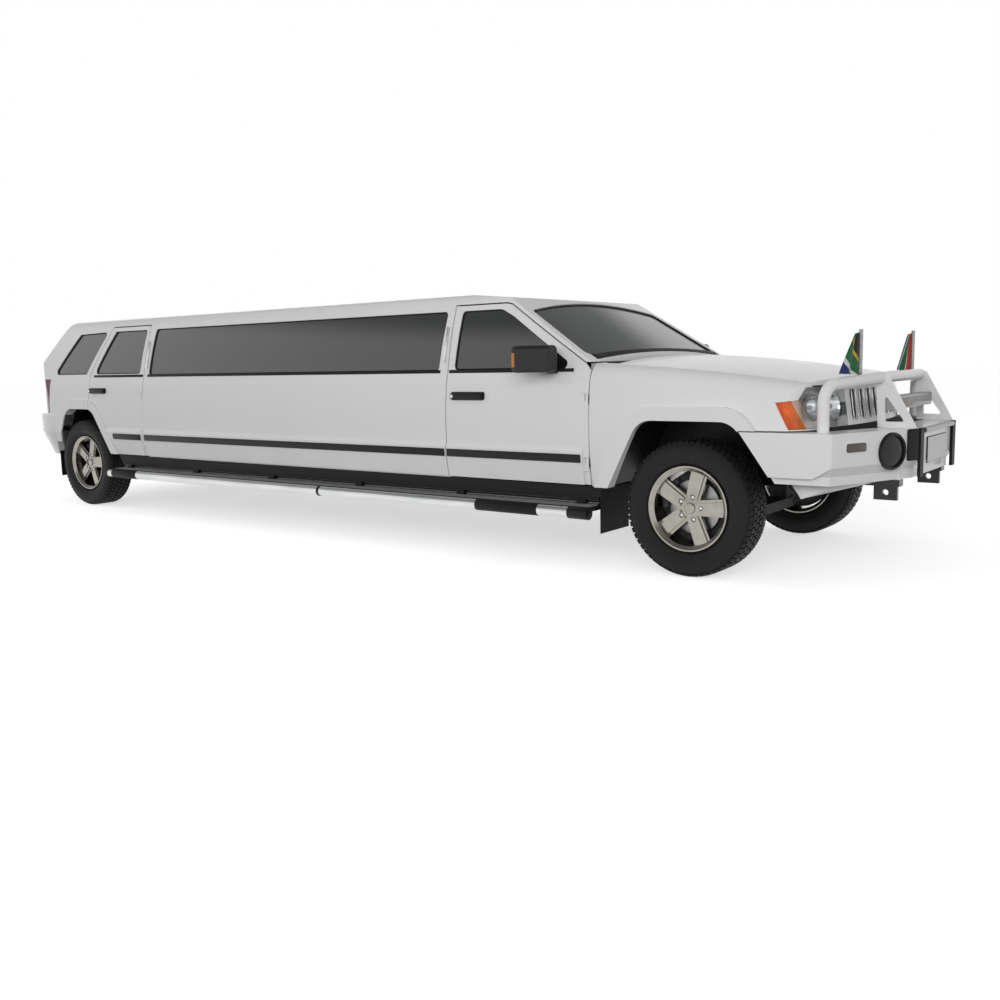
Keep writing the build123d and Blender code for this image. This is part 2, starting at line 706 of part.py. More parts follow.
def nose_keep(inset):
    at = {}
    for name, (x, y, lean) in NOSE_PLAN.items():
        turn = math.radians(lean)
        at[name] = (front(x) - inset * math.sin(turn), y - inset * math.cos(turn))
    back = front(-2000)
    edges = [ThreePointArc((at["corner"][0], -at["corner"][1]), at["middle"], at["corner"])]
    for sign in (1, -1):
        there = {name: (x, sign * y) for name, (x, y) in at.items()}
        edges.append(ThreePointArc(there["side"], there["turn"], there["corner"]))
        edges.append(Line(there["side"], (back, there["side"][1])))
    edges.append(Line((back, -at["side"][1]), (back, at["side"][1])))
    base = 300.0
    face = Pos((NOSE_REF_Z - base) * NOSE_LEAN, 0, base) * make_face(edges)
    tall = math.hypot(1, NOSE_LEAN)
    return extrude(face, amount=1100, dir=(-NOSE_LEAN / tall, 0, 1 / tall))


def nose(inset):
    return loft([nose_section(x, inset) for x in NOSE_ROWS]) & nose_keep(inset)


HOOD_AXIS = (-462.0, 1118.0)
HOOD_PIN_R = 8.0
HOOD_LUG = (650.0, 690.0)


def make_front():
    skin = nose(0)
    fender_shell = skin - nose(FENDER_WALL)
    edge_line = [(front(x), y) for x, y in HOOD_EDGE]
    outside = [(edge_line[1][0], 1200), (edge_line[0][0], 1200)]
    side_zone = prism_z(outline(edge_line + outside), 0, 2000)
    region = outline([
        (front(FRONT_DOOR_FRONT) + GAP, SILL_TOP_Z),
        (front(100), SILL_TOP_Z),
        (front(300), FENDER_FRONT_Z),
        (front(900), FENDER_FRONT_Z),
        (front(900), 1400),
        (front(FRONT_DOOR_FRONT) + GAP, 1400),
    ])
    region = prism_y(region, 300, FAR)
    fender = fender_shell & region & side_zone
    fender += flare(FRONT_ARCH, front, SIDE_Y - 6) & region & box(front(-600), front(480), 0, FAR, 0, 2000)
    fender -= prism_y(arch_face(FRONT_ARCH, front), 0, FAR)
    lamp_face = [(front(x), z) for x, z in LAMP_FACE]
    fender -= prism_y(outline(grown(lamp_face, SEAT)), GRILLE_HALF, FAR)
    parts["fender_left"], parts["fender_right"] = fender, right_of(fender)
    lamp = (skin - nose(70)) & prism_y(outline(lamp_face), GRILLE_HALF + SEAT, FAR)
    parts["headlamps"] = both(lamp)

    grille = (skin - nose(35)) & box(front(450), front(900), -GRILLE_HALF, GRILLE_HALF, GRILLE_BOTTOM_Z, GRILLE_TOP_Z)
    for i in range(GRILLE_SLOTS):
        y = (i - (GRILLE_SLOTS - 1) / 2) * GRILLE_PITCH
        slot = outline([(y - 27, 842), (y + 27, 842), (y + 27, 1000), (y - 27, 1000)], 20)
        grille -= prism_x(slot, front(450), front(900))
    parts["grille"] = grille

    inner_line = shifted(edge_line, -GAP, closed=False)
    plan = [(inner_line[0][0], inner_line[0][1]), (inner_line[1][0], inner_line[1][1])]
    plan = [(x, y) for x, y in plan] + [(x, -y) for x, y in plan[::-1]]
    hood = (skin - nose(HOOD_WALL)) & prism_z(outline(plan), 900, 1400)
    hood &= prism_y(outline([
        (front(HOOD_REAR), 950), (front(430), 950), (front(430), HOOD_LIP_Z),
        (front(900), HOOD_LIP_Z), (front(900), 1400), (front(HOOD_REAR), 1400)]), -FAR, FAR)
    x, z = front(HOOD_AXIS[0]), HOOD_AXIS[1]
    solid_nose = nose(HOOD_WALL / 2)
    for sign in (1, -1):
        low, high = sorted((sign * HOOD_LUG[0], sign * HOOD_LUG[1]))
        lug = prism_y(outline([(x - 15, z - 15), (x + 15, z - 15), (x + 70, 1180), (x - 15, 1180)]), low, high)
        hood += lug & solid_nose
        hood -= rod_y(x, z, HOOD_PIN_R + RUNNING, sign * (HOOD_LUG[0] + 4), sign * (HOOD_LUG[1] + 20))
    parts["hood"] = hood


GRILLE_SLOTS = 8
GRILLE_PITCH = 98.0


# Underbody: firewall, floor, raised rear floor, sills, hinge posts

FLOOR_INSET = 120.0                # floor ends this far inside the widest part of the side
FLOOR_HALF = SIDE_Y - FLOOR_INSET
FLOOR_T = 40.0
FLOOR_Z = 420.0                    # underside of the floor
REAR_FLOOR_Z = 640.0
FIREWALL = -500.0
FIREWALL_TOP_Z = 1092.0
FLOOR_LINE = [
    (front(FIREWALL), FIREWALL_TOP_Z),
    (front(FIREWALL), 600.0),
    (front(-650), FLOOR_Z),
    (rear(600), FLOOR_Z),
    (rear(470), REAR_FLOOR_Z),
    (rear(-700), REAR_FLOOR_Z),
]
SILL_FRONT = -545.0
SILL_REAR = 500.0
POST_Y = SIDE_Y - 75               # outer face of the hinge posts
POST_TOP_Z = 1050.0
LINER_GROW = 40.0
LINER_T = 8.0
FRONT_LINER_Y = 455.0
REAR_LINER_Y = 641.0


def liner_room(arch, at, y0, grow):
    return prism_y(arch_face(arch, at, LINER_GROW + grow), y0, FAR)


def liner(arch, at, y0, y1):
    """Left wheel-arch liner: arched band closed on its inner side."""
    band = prism_y(arch_face(arch, at, LINER_GROW), y0, y1)
    band -= prism_y(arch_face(arch, at, LINER_GROW - LINER_T), y0 + LINER_T, y1 + 1)
    return band & box(at(-900), at(900), y0 - 1, y1 + 1, 470, 1500)


def make_underbody():
    pan = prism_y(strip(FLOOR_LINE, -FLOOR_T), -FLOOR_HALF, FLOOR_HALF)
    pan += box(front(-580), front(FIREWALL), -FLOOR_HALF, FLOOR_HALF, FIREWALL_TOP_Z - 22, FIREWALL_TOP_Z)
    sill_y = (FLOOR_HALF - 40, SECTION["low"][0])
    sill = box(rear(SILL_REAR), front(SILL_FRONT), *sill_y, SILL_BOTTOM_Z, SILL_TOP_Z)
    post_x = (front(FRONT_DOOR_FRONT) + GAP, front(FIREWALL) - 10)
    post = box(*post_x, FLOOR_HALF - 10, POST_Y, SILL_TOP_Z - 10, POST_TOP_Z)
    x, z = front(HOOD_AXIS[0]), HOOD_AXIS[1]
    wall_x = front(FIREWALL)
    bracket = outline([
        (wall_x - 20, 1040), (wall_x, 1040), (x + 12, z - 12), (x + 8, z + 10), (x - 10, z + 10), (wall_x - 20, 1092)])
    bracket = prism_y(bracket, HOOD_LUG[1] + 8, HOOD_LUG[1] + 22)
    pin = rod_y(x, z, HOOD_PIN_R, HOOD_LUG[0] + 5, HOOD_LUG[1] + 12)
    for piece in (sill, post, bracket, pin):
        pan += piece
        pan += right_of(piece)
    for arch, at, y in ((FRONT_ARCH, front, FRONT_LINER_Y), (REAR_ARCH, rear, REAR_LINER_Y)):
        room = liner_room(arch, at, y - SEAT, SEAT)
        pan -= room
        pan -= right_of(room)
    for arm in hinge_arms(door_frame(front(FRONT_DOOR_FRONT)), DOOR_HINGES, DOOR_LEG):
        pan += arm
        pan += right_of(arm)
    parts["underbody"] = pan
    liners = [liner(FRONT_ARCH, front, FRONT_LINER_Y, 838), liner(REAR_ARCH, rear, REAR_LINER_Y, 808)]
    liners[0] -= box(front(-90), front(90), 400, 500, 400, 575)
    liners[1] -= rod_y(rear(0), HUB_Z, 110, 600, 700)
    parts["wheel_liners"] = Compound(children=[s for one in liners for s in both(one).solids()])


RAIL_Y = (368.0, 448.0)
RAIL_TALL = 90.0


def make_frame():
    rail = strip([
        (front(640), 560.0),
        (front(-520), 560.0),
        (front(-637), FLOOR_Z),
        (rear(585), FLOOR_Z),
        (rear(455), REAR_FLOOR_Z),
        (rear(-760), REAR_FLOOR_Z),
    ], RAIL_TALL)
    left = prism_y(rail, *RAIL_Y)
    frame = left + right_of(left)
    low_z = FLOOR_Z - 80
    for x, z in ((front(560), 480.0), (front(-900), low_z), (rear(1600), low_z), (rear(700), low_z), (rear(-740), 560.0)):
        frame += box(x - 35, x + 35, -RAIL_Y[0] - 20, RAIL_Y[0] + 20, z, z + 60)
    parts["chassis_frame"] = frame


# Running gear

SPINDLE_R = 30.0
SPINDLE_END = 44.0                 # outboard of the wheel's middle plane
ARM_LOW_Z = (235.0, 265.0)
ARM_HIGH_Z = (492.0, 520.0)
EYE_R = 28.0
KING_R = 12.0
WHEEL_Y = TRACK / 2
KING_Y = KINGPIN_TRACK / 2


def suspension_arm(z0, z1, root_y, half):
    tip = EYE_R * 0.9
    plan = outline([(front(-half), root_y), (front(half), root_y), (front(tip), KING_Y), (front(-tip), KING_Y)])
    arm = prism_z(plan, z0, z1) + rod_z(front(0), KING_Y, EYE_R, z0, z1)
    return arm - rod_z(front(0), KING_Y, KING_R + RUNNING, z0 - 1, z1 + 1)


def make_running_gear():
    beam = box(front(-70), front(70), -460, 460, 225, 285)
    for sign in (1, -1):
        beam += box(front(-55), front(55), sign * RAIL_Y[0], sign * RAIL_Y[1], 280, 470)
        low = suspension_arm(*ARM_LOW_Z, 440, 75)
        beam += low if sign > 0 else right_of(low)
    high = suspension_arm(*ARM_HIGH_Z, RAIL_Y[1], 70)
    parts["front_suspension"] = Compound(children=[*beam.solids(), *both(high).solids()])

    knuckle = rod_z(front(0), KING_Y, 38, ARM_LOW_Z[1] + 5, ARM_HIGH_Z[0] - 5)
    knuckle += rod_z(front(0), KING_Y, KING_R, ARM_LOW_Z[0], ARM_HIGH_Z[1])
    knuckle += rod_y(front(0), HUB_Z, SPINDLE_R, KING_Y, WHEEL_Y + SPINDLE_END)
    parts["knuckle_left"], parts["knuckle_right"] = knuckle, right_of(knuckle)

    axle = rod_y(rear(0), HUB_Z, 44, -WHEEL_Y + 60, WHEEL_Y - 60)
    axle += rod_y(rear(0), HUB_Z, SPINDLE_R, -WHEEL_Y - SPINDLE_END, WHEEL_Y + SPINDLE_END)
    axle += Pos(rear(0), 0, HUB_Z) * Sphere(140)
    for sign in (1, -1):
        axle += rod_z(rear(0), sign * 408, 38, HUB_Z, REAR_FLOOR_Z - RAIL_TALL)
    parts["rear_axle"] = axle


TYRE_R = HUB_Z
RIM_R = 216.0                      # bead seat
FLANGE_R = 233.0
RIM_HALF = 104.0
BEAD_HALF = 90.0
# columns: radius, half width, from the bead to the tread
TYRE_OUTER = [(236.0, 90.0), (262.0, 111.0), (300.0, 122.0), (338.0, 117.0), (362.0, 104.0), (HUB_Z, 84.0)]
TYRE_INNER = [(262.0, 95.0), (300.0, 106.0), (350.0, 88.0)]
SPOKES = 5
SPOKE_START = -15.0                # first spoke leans this far from upright
HUB_R = 76.0
LUG_CIRCLE_R = 63.5


def revolved(face):
    """Outline drawn in radius and offset from the wheel's middle, turned about the axle."""
    if face.faces()[0].normal_at().Z < 0:
        face = -face.faces()[0]
    return revolve(face, axis=Axis.Y)


def make_wheel():
    """Left wheel at the origin, outboard towards +Y: alloy rim and tyre."""
    barrel = [
        (FLANGE_R, -RIM_HALF), (FLANGE_R, -RIM_HALF + 7), (RIM_R, -RIM_HALF + 12), (RIM_R, RIM_HALF - 12),
        (FLANGE_R, RIM_HALF - 7), (FLANGE_R, RIM_HALF), (FLANGE_R - 8, RIM_HALF), (RIM_R - 10, RIM_HALF - 16),
        (RIM_R - 10, -RIM_HALF + 16), (FLANGE_R - 8, -RIM_HALF),
    ]
    rim = revolved(outline(barrel))
    hub = revolved(outline([(0, 10), (HUB_R + 8, 10), (HUB_R, 58), (34, 66), (0, 66)]))
    rim += hub
    spoke = Plane(origin=(0, 0, 0), x_dir=(0, 0, 1), z_dir=(0, 1, 0))
    ledge = outline([(50, -42), (RIM_R - 4, -50), (RIM_R - 4, 50), (50, 42)])
    crown = outline([(56, -27), (RIM_R - 12, -33), (RIM_R - 12, 33), (56, 27)])
    body = extrude(spoke.offset(34) * ledge, amount=24)
    body += extrude(spoke.offset(58) * crown, amount=10)
    for i in range(SPOKES):
        rim += Rot(0, SPOKE_START + 360 * i / SPOKES, 0) * body
    rim -= rod_y(0, 0, SPINDLE_R + RUNNING, 0, SPINDLE_END + 5)
    for i in range(SPOKES):
        turn = Rot(0, SPOKE_START + 360 * i / SPOKES, 0)
        rim -= turn * Pos(0, 66, LUG_CIRCLE_R) * Rot(90, 0, 0) * Cylinder(15, 30)
    bead = RIM_R + SEAT
    half = TYRE_OUTER + [(r, -y) for r, y in TYRE_OUTER[::-1]]
    inner = TYRE_INNER + [(r, -y) for r, y in TYRE_INNER[::-1]]
    walls = [(bead, BEAD_HALF)] + half + [(bead, -BEAD_HALF)]
    room = [(bead - 10, BEAD_HALF - 20), (bead, BEAD_HALF - 20)] + inner
    room += [(bead, 20 - BEAD_HALF), (bead - 10, 20 - BEAD_HALF)]
    tyre = revolved(outline(walls)) - revolved(outline(room))
    return rim, tyre


def make_wheels():
    rim, tyre = make_wheel()
    for where, x in (("front", front(0)), ("rear", rear(0))):
        for side, sign in (("left", 1), ("right", -1)):
            place = Pos(x, sign * WHEEL_Y, HUB_Z)
            turn = Rot(0, 0, 0) if sign > 0 else Rot(0, 0, 180)
            parts[f"rim_{where}_{side}"] = place * turn * rim
            parts[f"tyre_{where}_{side}"] = place * turn * tyre


# Engine and cabin fittings


def make_inside():
    block = box(front(-380), front(220), -300, 300, 560, 960)
    block = chamfer(block.edges().filter_by(Axis.X), 60)
    block += box(front(-40), front(40), -RAIL_Y[0], RAIL_Y[0], 500, 580)
    parts["engine"] = block
    parts["radiator"] = box(front(520), front(590), -415, 415, 560, 985)
    floor = FLOOR_Z + FLOOR_T
    seats = []
    for y in (-390, 390):
        seats.append(box(front(-1560), front(-1060), y - 250, y + 250, floor, floor + 300))
        seats[-1] += box(front(-1720), front(-1560), y - 240, y + 240, floor + 120, floor + 720)
    raised = REAR_FLOOR_Z + FLOOR_T
    bench = box(rear(-20), rear(470), -610, 610, raised, raised + 220)
    bench += box(rear(-140), rear(-20), -610, 610, raised, raised + 540)
    side = box(rear(1000), front(-2500), 350, 760, floor, floor + 320)
    side += box(rear(1000), front(-2500), 690, 760, floor + 320, floor + 620)
    parts["lounge_seats"] = Compound(children=[*bench.solids(), *side.solids()])
    parts["front_seats"] = Compound(children=[*seats[0].solids(), *seats[1].solids()])
    half = FLOOR_HALF - 20
    dash = box(front(-900), front(FIREWALL) - FLOOR_T, -half, half, 800, 1060)
    spot = Pos(front(-1000), -390, 1000) * Rot(0, -65, 0)
    dash += spot * Torus(175, 15)
    dash += spot * Box(20, 350, 14)
    dash += spot * Cylinder(24, 170, align=(Align.CENTER, Align.CENTER, Align.MAX))
    parts["dashboard"] = dash


# Bull bar and its fittings

BAR_FRONT = 1036.0
BAR_HALF = 350.0
BAR_CORNER = (788.0, 918.0)
BAR_WING = (300.0, 930.0)
BAR_Z = (585.0, 800.0)
BAR_T = 45.0
DECK_T = 15.0
BAR_BEVEL_Z = 632.0                # lower edge of the upright face, ahead of the wings
BAR_LIP_INSET = 28.0
# columns: X from the front axle, Z of the plate under each wing
BAR_SKIRT = [(440.0, 585.0), (478.0, 458.0), (600.0, 458.0), (790.0, 535.0), (790.0, 585.0)]
SKIRT_Y = 800.0
MOUNT_Y = (376.0, 442.0)
DRIVING_LAMP = (957.0, 530.0, 692.0)
DRIVING_LAMP_R = 86.0
TUBE_R = 30.0

EYE_X = 900.0                      # recovery eyes under the bar
EYE_Y = 409.0
EYE_Z = 465.0
EYE_T = 25.0
EYE_HOLE_R = 16.0


def bar_path(inset=0.0):
    left = [BAR_WING, BAR_CORNER, (BAR_FRONT, BAR_HALF)]
    points = [(front(x), y) for x, y in left] + [(front(x), -y) for x, y in left[::-1]]
    return shifted(points, -inset, closed=False) if inset else points


def tube(points, bend, radius):
    """Round tube through corner points, bent with the given radius."""
    made = None
    at = [Vector(*p) for p in points]
    start = at[0]
    for i in range(1, len(at)):
        stop = at[i]
        arc = None
        if i < len(at) - 1:
            d1 = (at[i] - at[i - 1]).normalized()
            d2 = (at[i + 1] - at[i]).normalized()
            half = math.acos(max(-1.0, min(1.0, d1.dot(d2)))) / 2
            back = bend * math.tan(half)
            stop = at[i] - d1 * back
            leave = at[i] + d2 * back
            middle = at[i] + (d2 - d1).normalized() * (bend / math.cos(half) - bend)
            arc = ThreePointArc(stop, middle, leave)
        length = (stop - start).length
        axis = Plane(origin=start, z_dir=stop - start)
        piece = axis.location * Cylinder(radius, length, align=(Align.CENTER, Align.CENTER, Align.MIN))
        made = piece if made is None else made + piece
        if arc is not None:
            made += sweep(Plane(origin=stop, z_dir=d1) * Circle(radius), path=arc)
            start = leave
    return made


def make_bull_bar():
    band = prism_z(strip(bar_path(), -BAR_T), BAR_BEVEL_Z, BAR_Z[1])
    band += prism_z(strip(bar_path(), -150), BAR_Z[1] - DECK_T, BAR_Z[1])
    band += prism_z(strip(bar_path(BAR_LIP_INSET), -BAR_T), BAR_Z[0] - 45, BAR_BEVEL_Z + 5)
    below = strip(bar_path(), -BAR_T - 2 * BAR_LIP_INSET)
    drop = BAR_BEVEL_Z - BAR_Z[0]
    lean = math.degrees(math.atan(BAR_LIP_INSET / drop))
    band += extrude(Plane.XY.offset(BAR_BEVEL_Z) * below, amount=-drop, taper=lean)
    wing = prism_z(strip(bar_path(), -BAR_T), BAR_Z[0] - 10, BAR_BEVEL_Z + 5)
    corner = front(BAR_CORNER[0])
    wing &= prism_y(outline([
        (front(0), BAR_Z[0] - 10), (corner - 95, BAR_Z[0] - 10), (corner, BAR_BEVEL_Z), (corner, BAR_BEVEL_Z + 5),
        (front(0), BAR_BEVEL_Z + 5)]), -FAR, FAR)
    band += wing
    skirt = prism_y(outline([(front(x), z) for x, z in BAR_SKIRT]), SKIRT_Y, SKIRT_Y + 10)
    skirt += box(front(440), corner - 30, SKIRT_Y, BAR_CORNER[1] - BAR_T + 5, BAR_Z[0] - 10, BAR_Z[0])
    cuts = [prism_y(arch_face(FRONT_ARCH, front, 8), 0, FAR), prism_y(arch_face(FRONT_ARCH, front, 46), 0, 850)]
    for piece in (skirt, box(front(640), front(BAR_FRONT) - BAR_T - 15, *MOUNT_Y, 500, 660)):
        band += piece
        band += right_of(piece)
    for cut in cuts:
        band -= cut
        band -= right_of(cut)
    eye = box(front(EYE_X - 60), front(EYE_X + 60), EYE_Y - EYE_T / 2, EYE_Y + EYE_T / 2, EYE_Z - 40, 505)
    eye -= rod_y(front(EYE_X), EYE_Z, EYE_HOLE_R, EYE_Y - 50, EYE_Y + 50)
    band += eye
    band += right_of(eye)
    lamp_x, lamp_y, lamp_z = DRIVING_LAMP
    lamp_at = Plane(origin=(front(lamp_x), lamp_y, lamp_z), z_dir=(0.92, 0.39, 0))
    hole = lamp_at.location * Cylinder(DRIVING_LAMP_R, 300)
    band -= hole + right_of(hole)
    parts["bull_bar"] = band
    lamp = lamp_at.location * Pos(0, 0, -30) * Cylinder(DRIVING_LAMP_R - SEAT, 70)
    parts["driving_lamps"] = both(lamp)
    buffer = box(front(BAR_FRONT), front(BAR_FRONT + 16), 292, 348, 545, 798)
    parts["bar_buffers"] = both(buffer)
    plate = outline([(835, BAR_Z[1]), (1030, BAR_Z[1]), (1010, 840), (880, 1075), (820, 1075)])
    hole = outline([(868, 975), (872, 830), (972, 830)], 8)
    plate = prism_y(Pos(front(0), 0, 0) * plate, 354, 368) - prism_y(Pos(front(0), 0, 0) * hole, 300, 400)
    hoop = hoop_tube(TUBE_R)
    hoop += plate
    hoop += right_of(plate)
    light = box(front(850), front(915), -354, 354, 890, 955)
    parts["bar_hoops"] = hoop
    parts["light_bar"] = light
    roller = rod_y(front(BAR_FRONT + 13), 784, 13, -280, 280)
    parts["plate_rail"] = roller


HOOP_FOOT = (700.0, 800.0)
HOOP_TOP_Z = 1060.0
HOOP_SHOULDER_Z = 1030.0
HOOP_FRONT = 845.0


def hoop_tube(radius):
    x, y = HOOP_FOOT
    left = [(front(x), y, BAR_Z[1]), (front(x), y, HOOP_SHOULDER_Z), (front(HOOP_FRONT), 360, HOOP_TOP_Z)]
    return tube(left + [(px, -py, pz) for px, py, pz in left[::-1]], 90, radius)


FLAG_AT = (765.0, 470.0)
FLAG_TURN = 70.0                   # cloth hangs this far round from straight back to the right
STAFF_R = 4.0
STAFF_WIDE = 20.0                  # reach of the flat blade of a staff
# columns: distance from the staff, height
FLAG_FACE = [(STAFF_R + SEAT, 1296.0), (40.0, 1290.0), (150.0, 1085.0), (STAFF_R + SEAT, 1075.0)]


def make_flags():
    staffs = []
    cloths = []
    x = front(FLAG_AT[0])
    for y in (FLAG_AT[1], -FLAG_AT[1]):
        clamp = box(x - 8, front(805), y - 10, y + 10, 1040, 1058) - hoop_tube(TUBE_R + SEAT)
        hang = Pos(x, y, 0) * Rot(0, 0, 180 + FLAG_TURN)
        blade = hang * box(-STAFF_WIDE, STAFF_R, -STAFF_R, STAFF_R, 1062, 1310)
        staffs.append(rod_z(x, y, STAFF_R, 1040, 1310) + blade + clamp)
        cloths.append(hang * prism_y(outline(FLAG_FACE), -2, 2))
    parts["flag_staffs"] = Compound(children=[s for one in staffs for s in one.solids()])
    parts["flags"] = Compound(children=[s for one in cloths for s in one.solids()])


# Rear bumper, steps, flaps

BUMPER = dict(
    side=(-425.0, 934.0, 0.0),
    turn=(-720.0, 880.0, 34.0),
    corner=(-905.0, 700.0, 72.0),
    middle=(-REAR_OVERHANG, 0.0, 90.0),
)
BUMPER_Z = (430.0, BUMPER_TOP_Z)
BUMPER_BEND_Z = 640.0              # below this the bumper draws in
BUMPER_LEAN = 22.0
STEP_Y = (840.0, 965.0)
STEP_Z = (330.0, 352.0)
STEP_TUBE_R = 34.0
STEP_JOINT = -2750.0


def make_outside():
    at = []
    for inset in (0, 60):
        there = {}
        for name, (x, y, lean) in BUMPER.items():
            turn = math.radians(lean)
            there[name] = (rear(x) + inset * math.sin(turn), y - inset * math.cos(turn))
        edges = [ThreePointArc((there["corner"][0], -there["corner"][1]), there["middle"], there["corner"])]
        for sign in (1, -1):
            put = {name: (x, sign * y) for name, (x, y) in there.items()}
            edges.append(ThreePointArc(put["side"], put["turn"], put["corner"]))
        edges.append(Line((there["side"][0], -there["side"][1]), there["side"]))
        at.append(make_face(edges))
    layers = []
    for face in at:
        layer = prism_z(face, BUMPER_BEND_Z, BUMPER_Z[1])
        start = Plane.XY.offset(BUMPER_BEND_Z) * face
        layers.append(layer + extrude(start, amount=BUMPER_Z[0] - BUMPER_BEND_Z, taper=BUMPER_LEAN))
    parts["rear_bumper"] = layers[0] - layers[1]
    run = (rear(SILL_REAR), front(SILL_FRONT) - 15)
    board = box(*run, STEP_Y[0], STEP_Y[1], *STEP_Z)
    board += box(*run, STEP_Y[0], STEP_Y[0] + 10, STEP_Z[0], SILL_BOTTOM_Z)
    count = 6
    for i in range(count):
        x = rear(SILL_REAR) + 120 + i * (front(SILL_FRONT) - rear(SILL_REAR) - 260) / (count - 1)
        board += box(x - 30, x + 30, STEP_Y[0], 885, STEP_Z[0], SILL_BOTTOM_Z)
    parts["step_boards"] = both(board)
    y = STEP_Y[1] + STEP_TUBE_R
    ends = (rear(SILL_REAR), front(STEP_JOINT) - 6, front(STEP_JOINT) + 6, front(SILL_FRONT) - 15)
    tubes = []
    for x0, x1 in ((ends[0], ends[1]), (ends[2], ends[3])):
        tubes.append(Pos((x0 + x1) / 2, y, STEP_Z[0] - 8) * Rot(0, 90, 0) * Cylinder(STEP_TUBE_R, x1 - x0))
    parts["step_tubes"] = Compound(children=[s for one in tubes for s in both(one).solids()])
    flaps = [
        box(front(SILL_FRONT), front(SILL_FRONT) + 8, 590, 900, 195, 452),
        box(rear(-425), rear(-417), 700, 900, 240, 466),
    ]
    parts["mudflaps"] = Compound(children=[s for one in flaps for s in both(one).solids()])


if __name__ == "__main__":
    make_doors()
    make_walls()
    make_rear()
    make_roof()
    make_front()
    make_underbody()
    make_frame()
    make_running_gear()
    make_wheels()
    make_inside()
    make_bull_bar()
    make_flags()
    make_outside()
    os.makedirs("parts", exist_ok=True)
    for name, shape in parts.items():
        export_step(shape, f"parts/{name}.step")
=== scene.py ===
import json
import math

import bpy
from mathutils import Matrix, Vector


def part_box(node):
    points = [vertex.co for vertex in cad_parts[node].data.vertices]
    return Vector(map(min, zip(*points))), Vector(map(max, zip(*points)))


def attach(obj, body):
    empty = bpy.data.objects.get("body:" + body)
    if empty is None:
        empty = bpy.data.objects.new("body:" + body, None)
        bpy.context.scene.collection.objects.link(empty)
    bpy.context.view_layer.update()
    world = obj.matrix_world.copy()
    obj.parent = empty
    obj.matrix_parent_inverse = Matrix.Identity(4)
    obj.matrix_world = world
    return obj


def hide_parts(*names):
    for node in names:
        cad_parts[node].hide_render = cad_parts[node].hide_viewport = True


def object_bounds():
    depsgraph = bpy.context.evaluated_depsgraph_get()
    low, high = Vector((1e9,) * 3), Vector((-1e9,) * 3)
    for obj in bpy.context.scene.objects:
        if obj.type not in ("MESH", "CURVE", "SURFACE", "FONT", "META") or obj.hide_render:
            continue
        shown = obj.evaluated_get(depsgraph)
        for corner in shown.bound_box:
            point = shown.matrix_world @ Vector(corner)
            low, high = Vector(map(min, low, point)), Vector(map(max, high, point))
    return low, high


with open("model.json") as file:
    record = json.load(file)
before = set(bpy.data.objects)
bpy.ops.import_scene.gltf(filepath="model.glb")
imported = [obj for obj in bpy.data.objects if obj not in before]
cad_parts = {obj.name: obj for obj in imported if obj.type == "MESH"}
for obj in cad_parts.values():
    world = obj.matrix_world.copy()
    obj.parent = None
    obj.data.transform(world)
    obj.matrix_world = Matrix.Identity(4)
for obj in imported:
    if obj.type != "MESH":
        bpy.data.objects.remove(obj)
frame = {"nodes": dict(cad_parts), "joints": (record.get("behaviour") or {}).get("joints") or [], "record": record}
CAD_LOW, CAD_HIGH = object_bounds()
nodes = frame["nodes"]

# Places taken from the frame. Metres, +X forward, +Y left, +Z up.
joint_at = {joint["name"]: Vector(joint["pos_m"]) for joint in frame["joints"]}
FRONT_AXLE = joint_at["spin_front_left"].x
REAR_AXLE = joint_at["spin_rear_left"].x
ENDS = ("front", "rear")
SIDES = (("left", 1.0), ("right", -1.0))
UP = Vector((0.0, 0.0, 1.0))
MIRROR_Y = Matrix.Scale(-1.0, 4, (0.0, 1.0, 0.0))


def ahead(x):
    """Station measured forward from the front axle."""
    return FRONT_AXLE + x


def behind(x):
    """Station measured forward from the rear axle."""
    return REAR_AXLE + x


# Modelling helpers

EDGE = 30.0
SHARP_EDGE = 50.0
MERGE_TURNED = 0.00005
MERGE_NODE = 0.00002


def clear_selection():
    bpy.ops.object.select_all(action="DESELECT")


def pick(piece):
    clear_selection()
    piece.select_set(True)
    bpy.context.view_layer.objects.active = piece


def mode(kind):
    bpy.ops.object.mode_set(mode=kind)


def select_all(action="SELECT"):
    bpy.ops.mesh.select_all(action=action)


def select_faces(piece, chosen):
    """Selects the faces that chosen accepts and stays in edit mode."""
    pick(piece)
    mode("EDIT")
    bpy.ops.mesh.select_mode(type="FACE")
    select_all("DESELECT")
    mode("OBJECT")
    for face in piece.data.polygons:
        face.select = chosen(face)
    mode("EDIT")


def named(name):
    piece = bpy.context.active_object
    piece.name = name
    piece.data.name = name
    return piece


def apply_modifiers(piece):
    pick(piece)
    for modifier in list(piece.modifiers):
        bpy.ops.object.modifier_apply(modifier=modifier.name)
    return piece


def round_edges(piece, width, steps=2, angle=EDGE):
    bevel = piece.modifiers.new("rounding", "BEVEL")
    bevel.width = width
    bevel.segments = steps
    bevel.limit_method = "ANGLE"
    bevel.angle_limit = math.radians(angle)
    return apply_modifiers(piece)


def thicken(piece, thickness, offset):
    """Gives a sheet of faces a thickness; offset 1 is outward, -1 inward."""
    shell = piece.modifiers.new("thickness", "SOLIDIFY")
    shell.thickness = thickness
    shell.offset = offset
    return apply_modifiers(piece)


def settled(name, rounding, steps, angle=EDGE):
    """Names a new piece, moves its place into its mesh and rounds its edges."""
    piece = named(name)
    bpy.ops.object.transform_apply(location=True, rotation=True, scale=True)
    if rounding:
        round_edges(piece, rounding, steps, angle)
    return piece


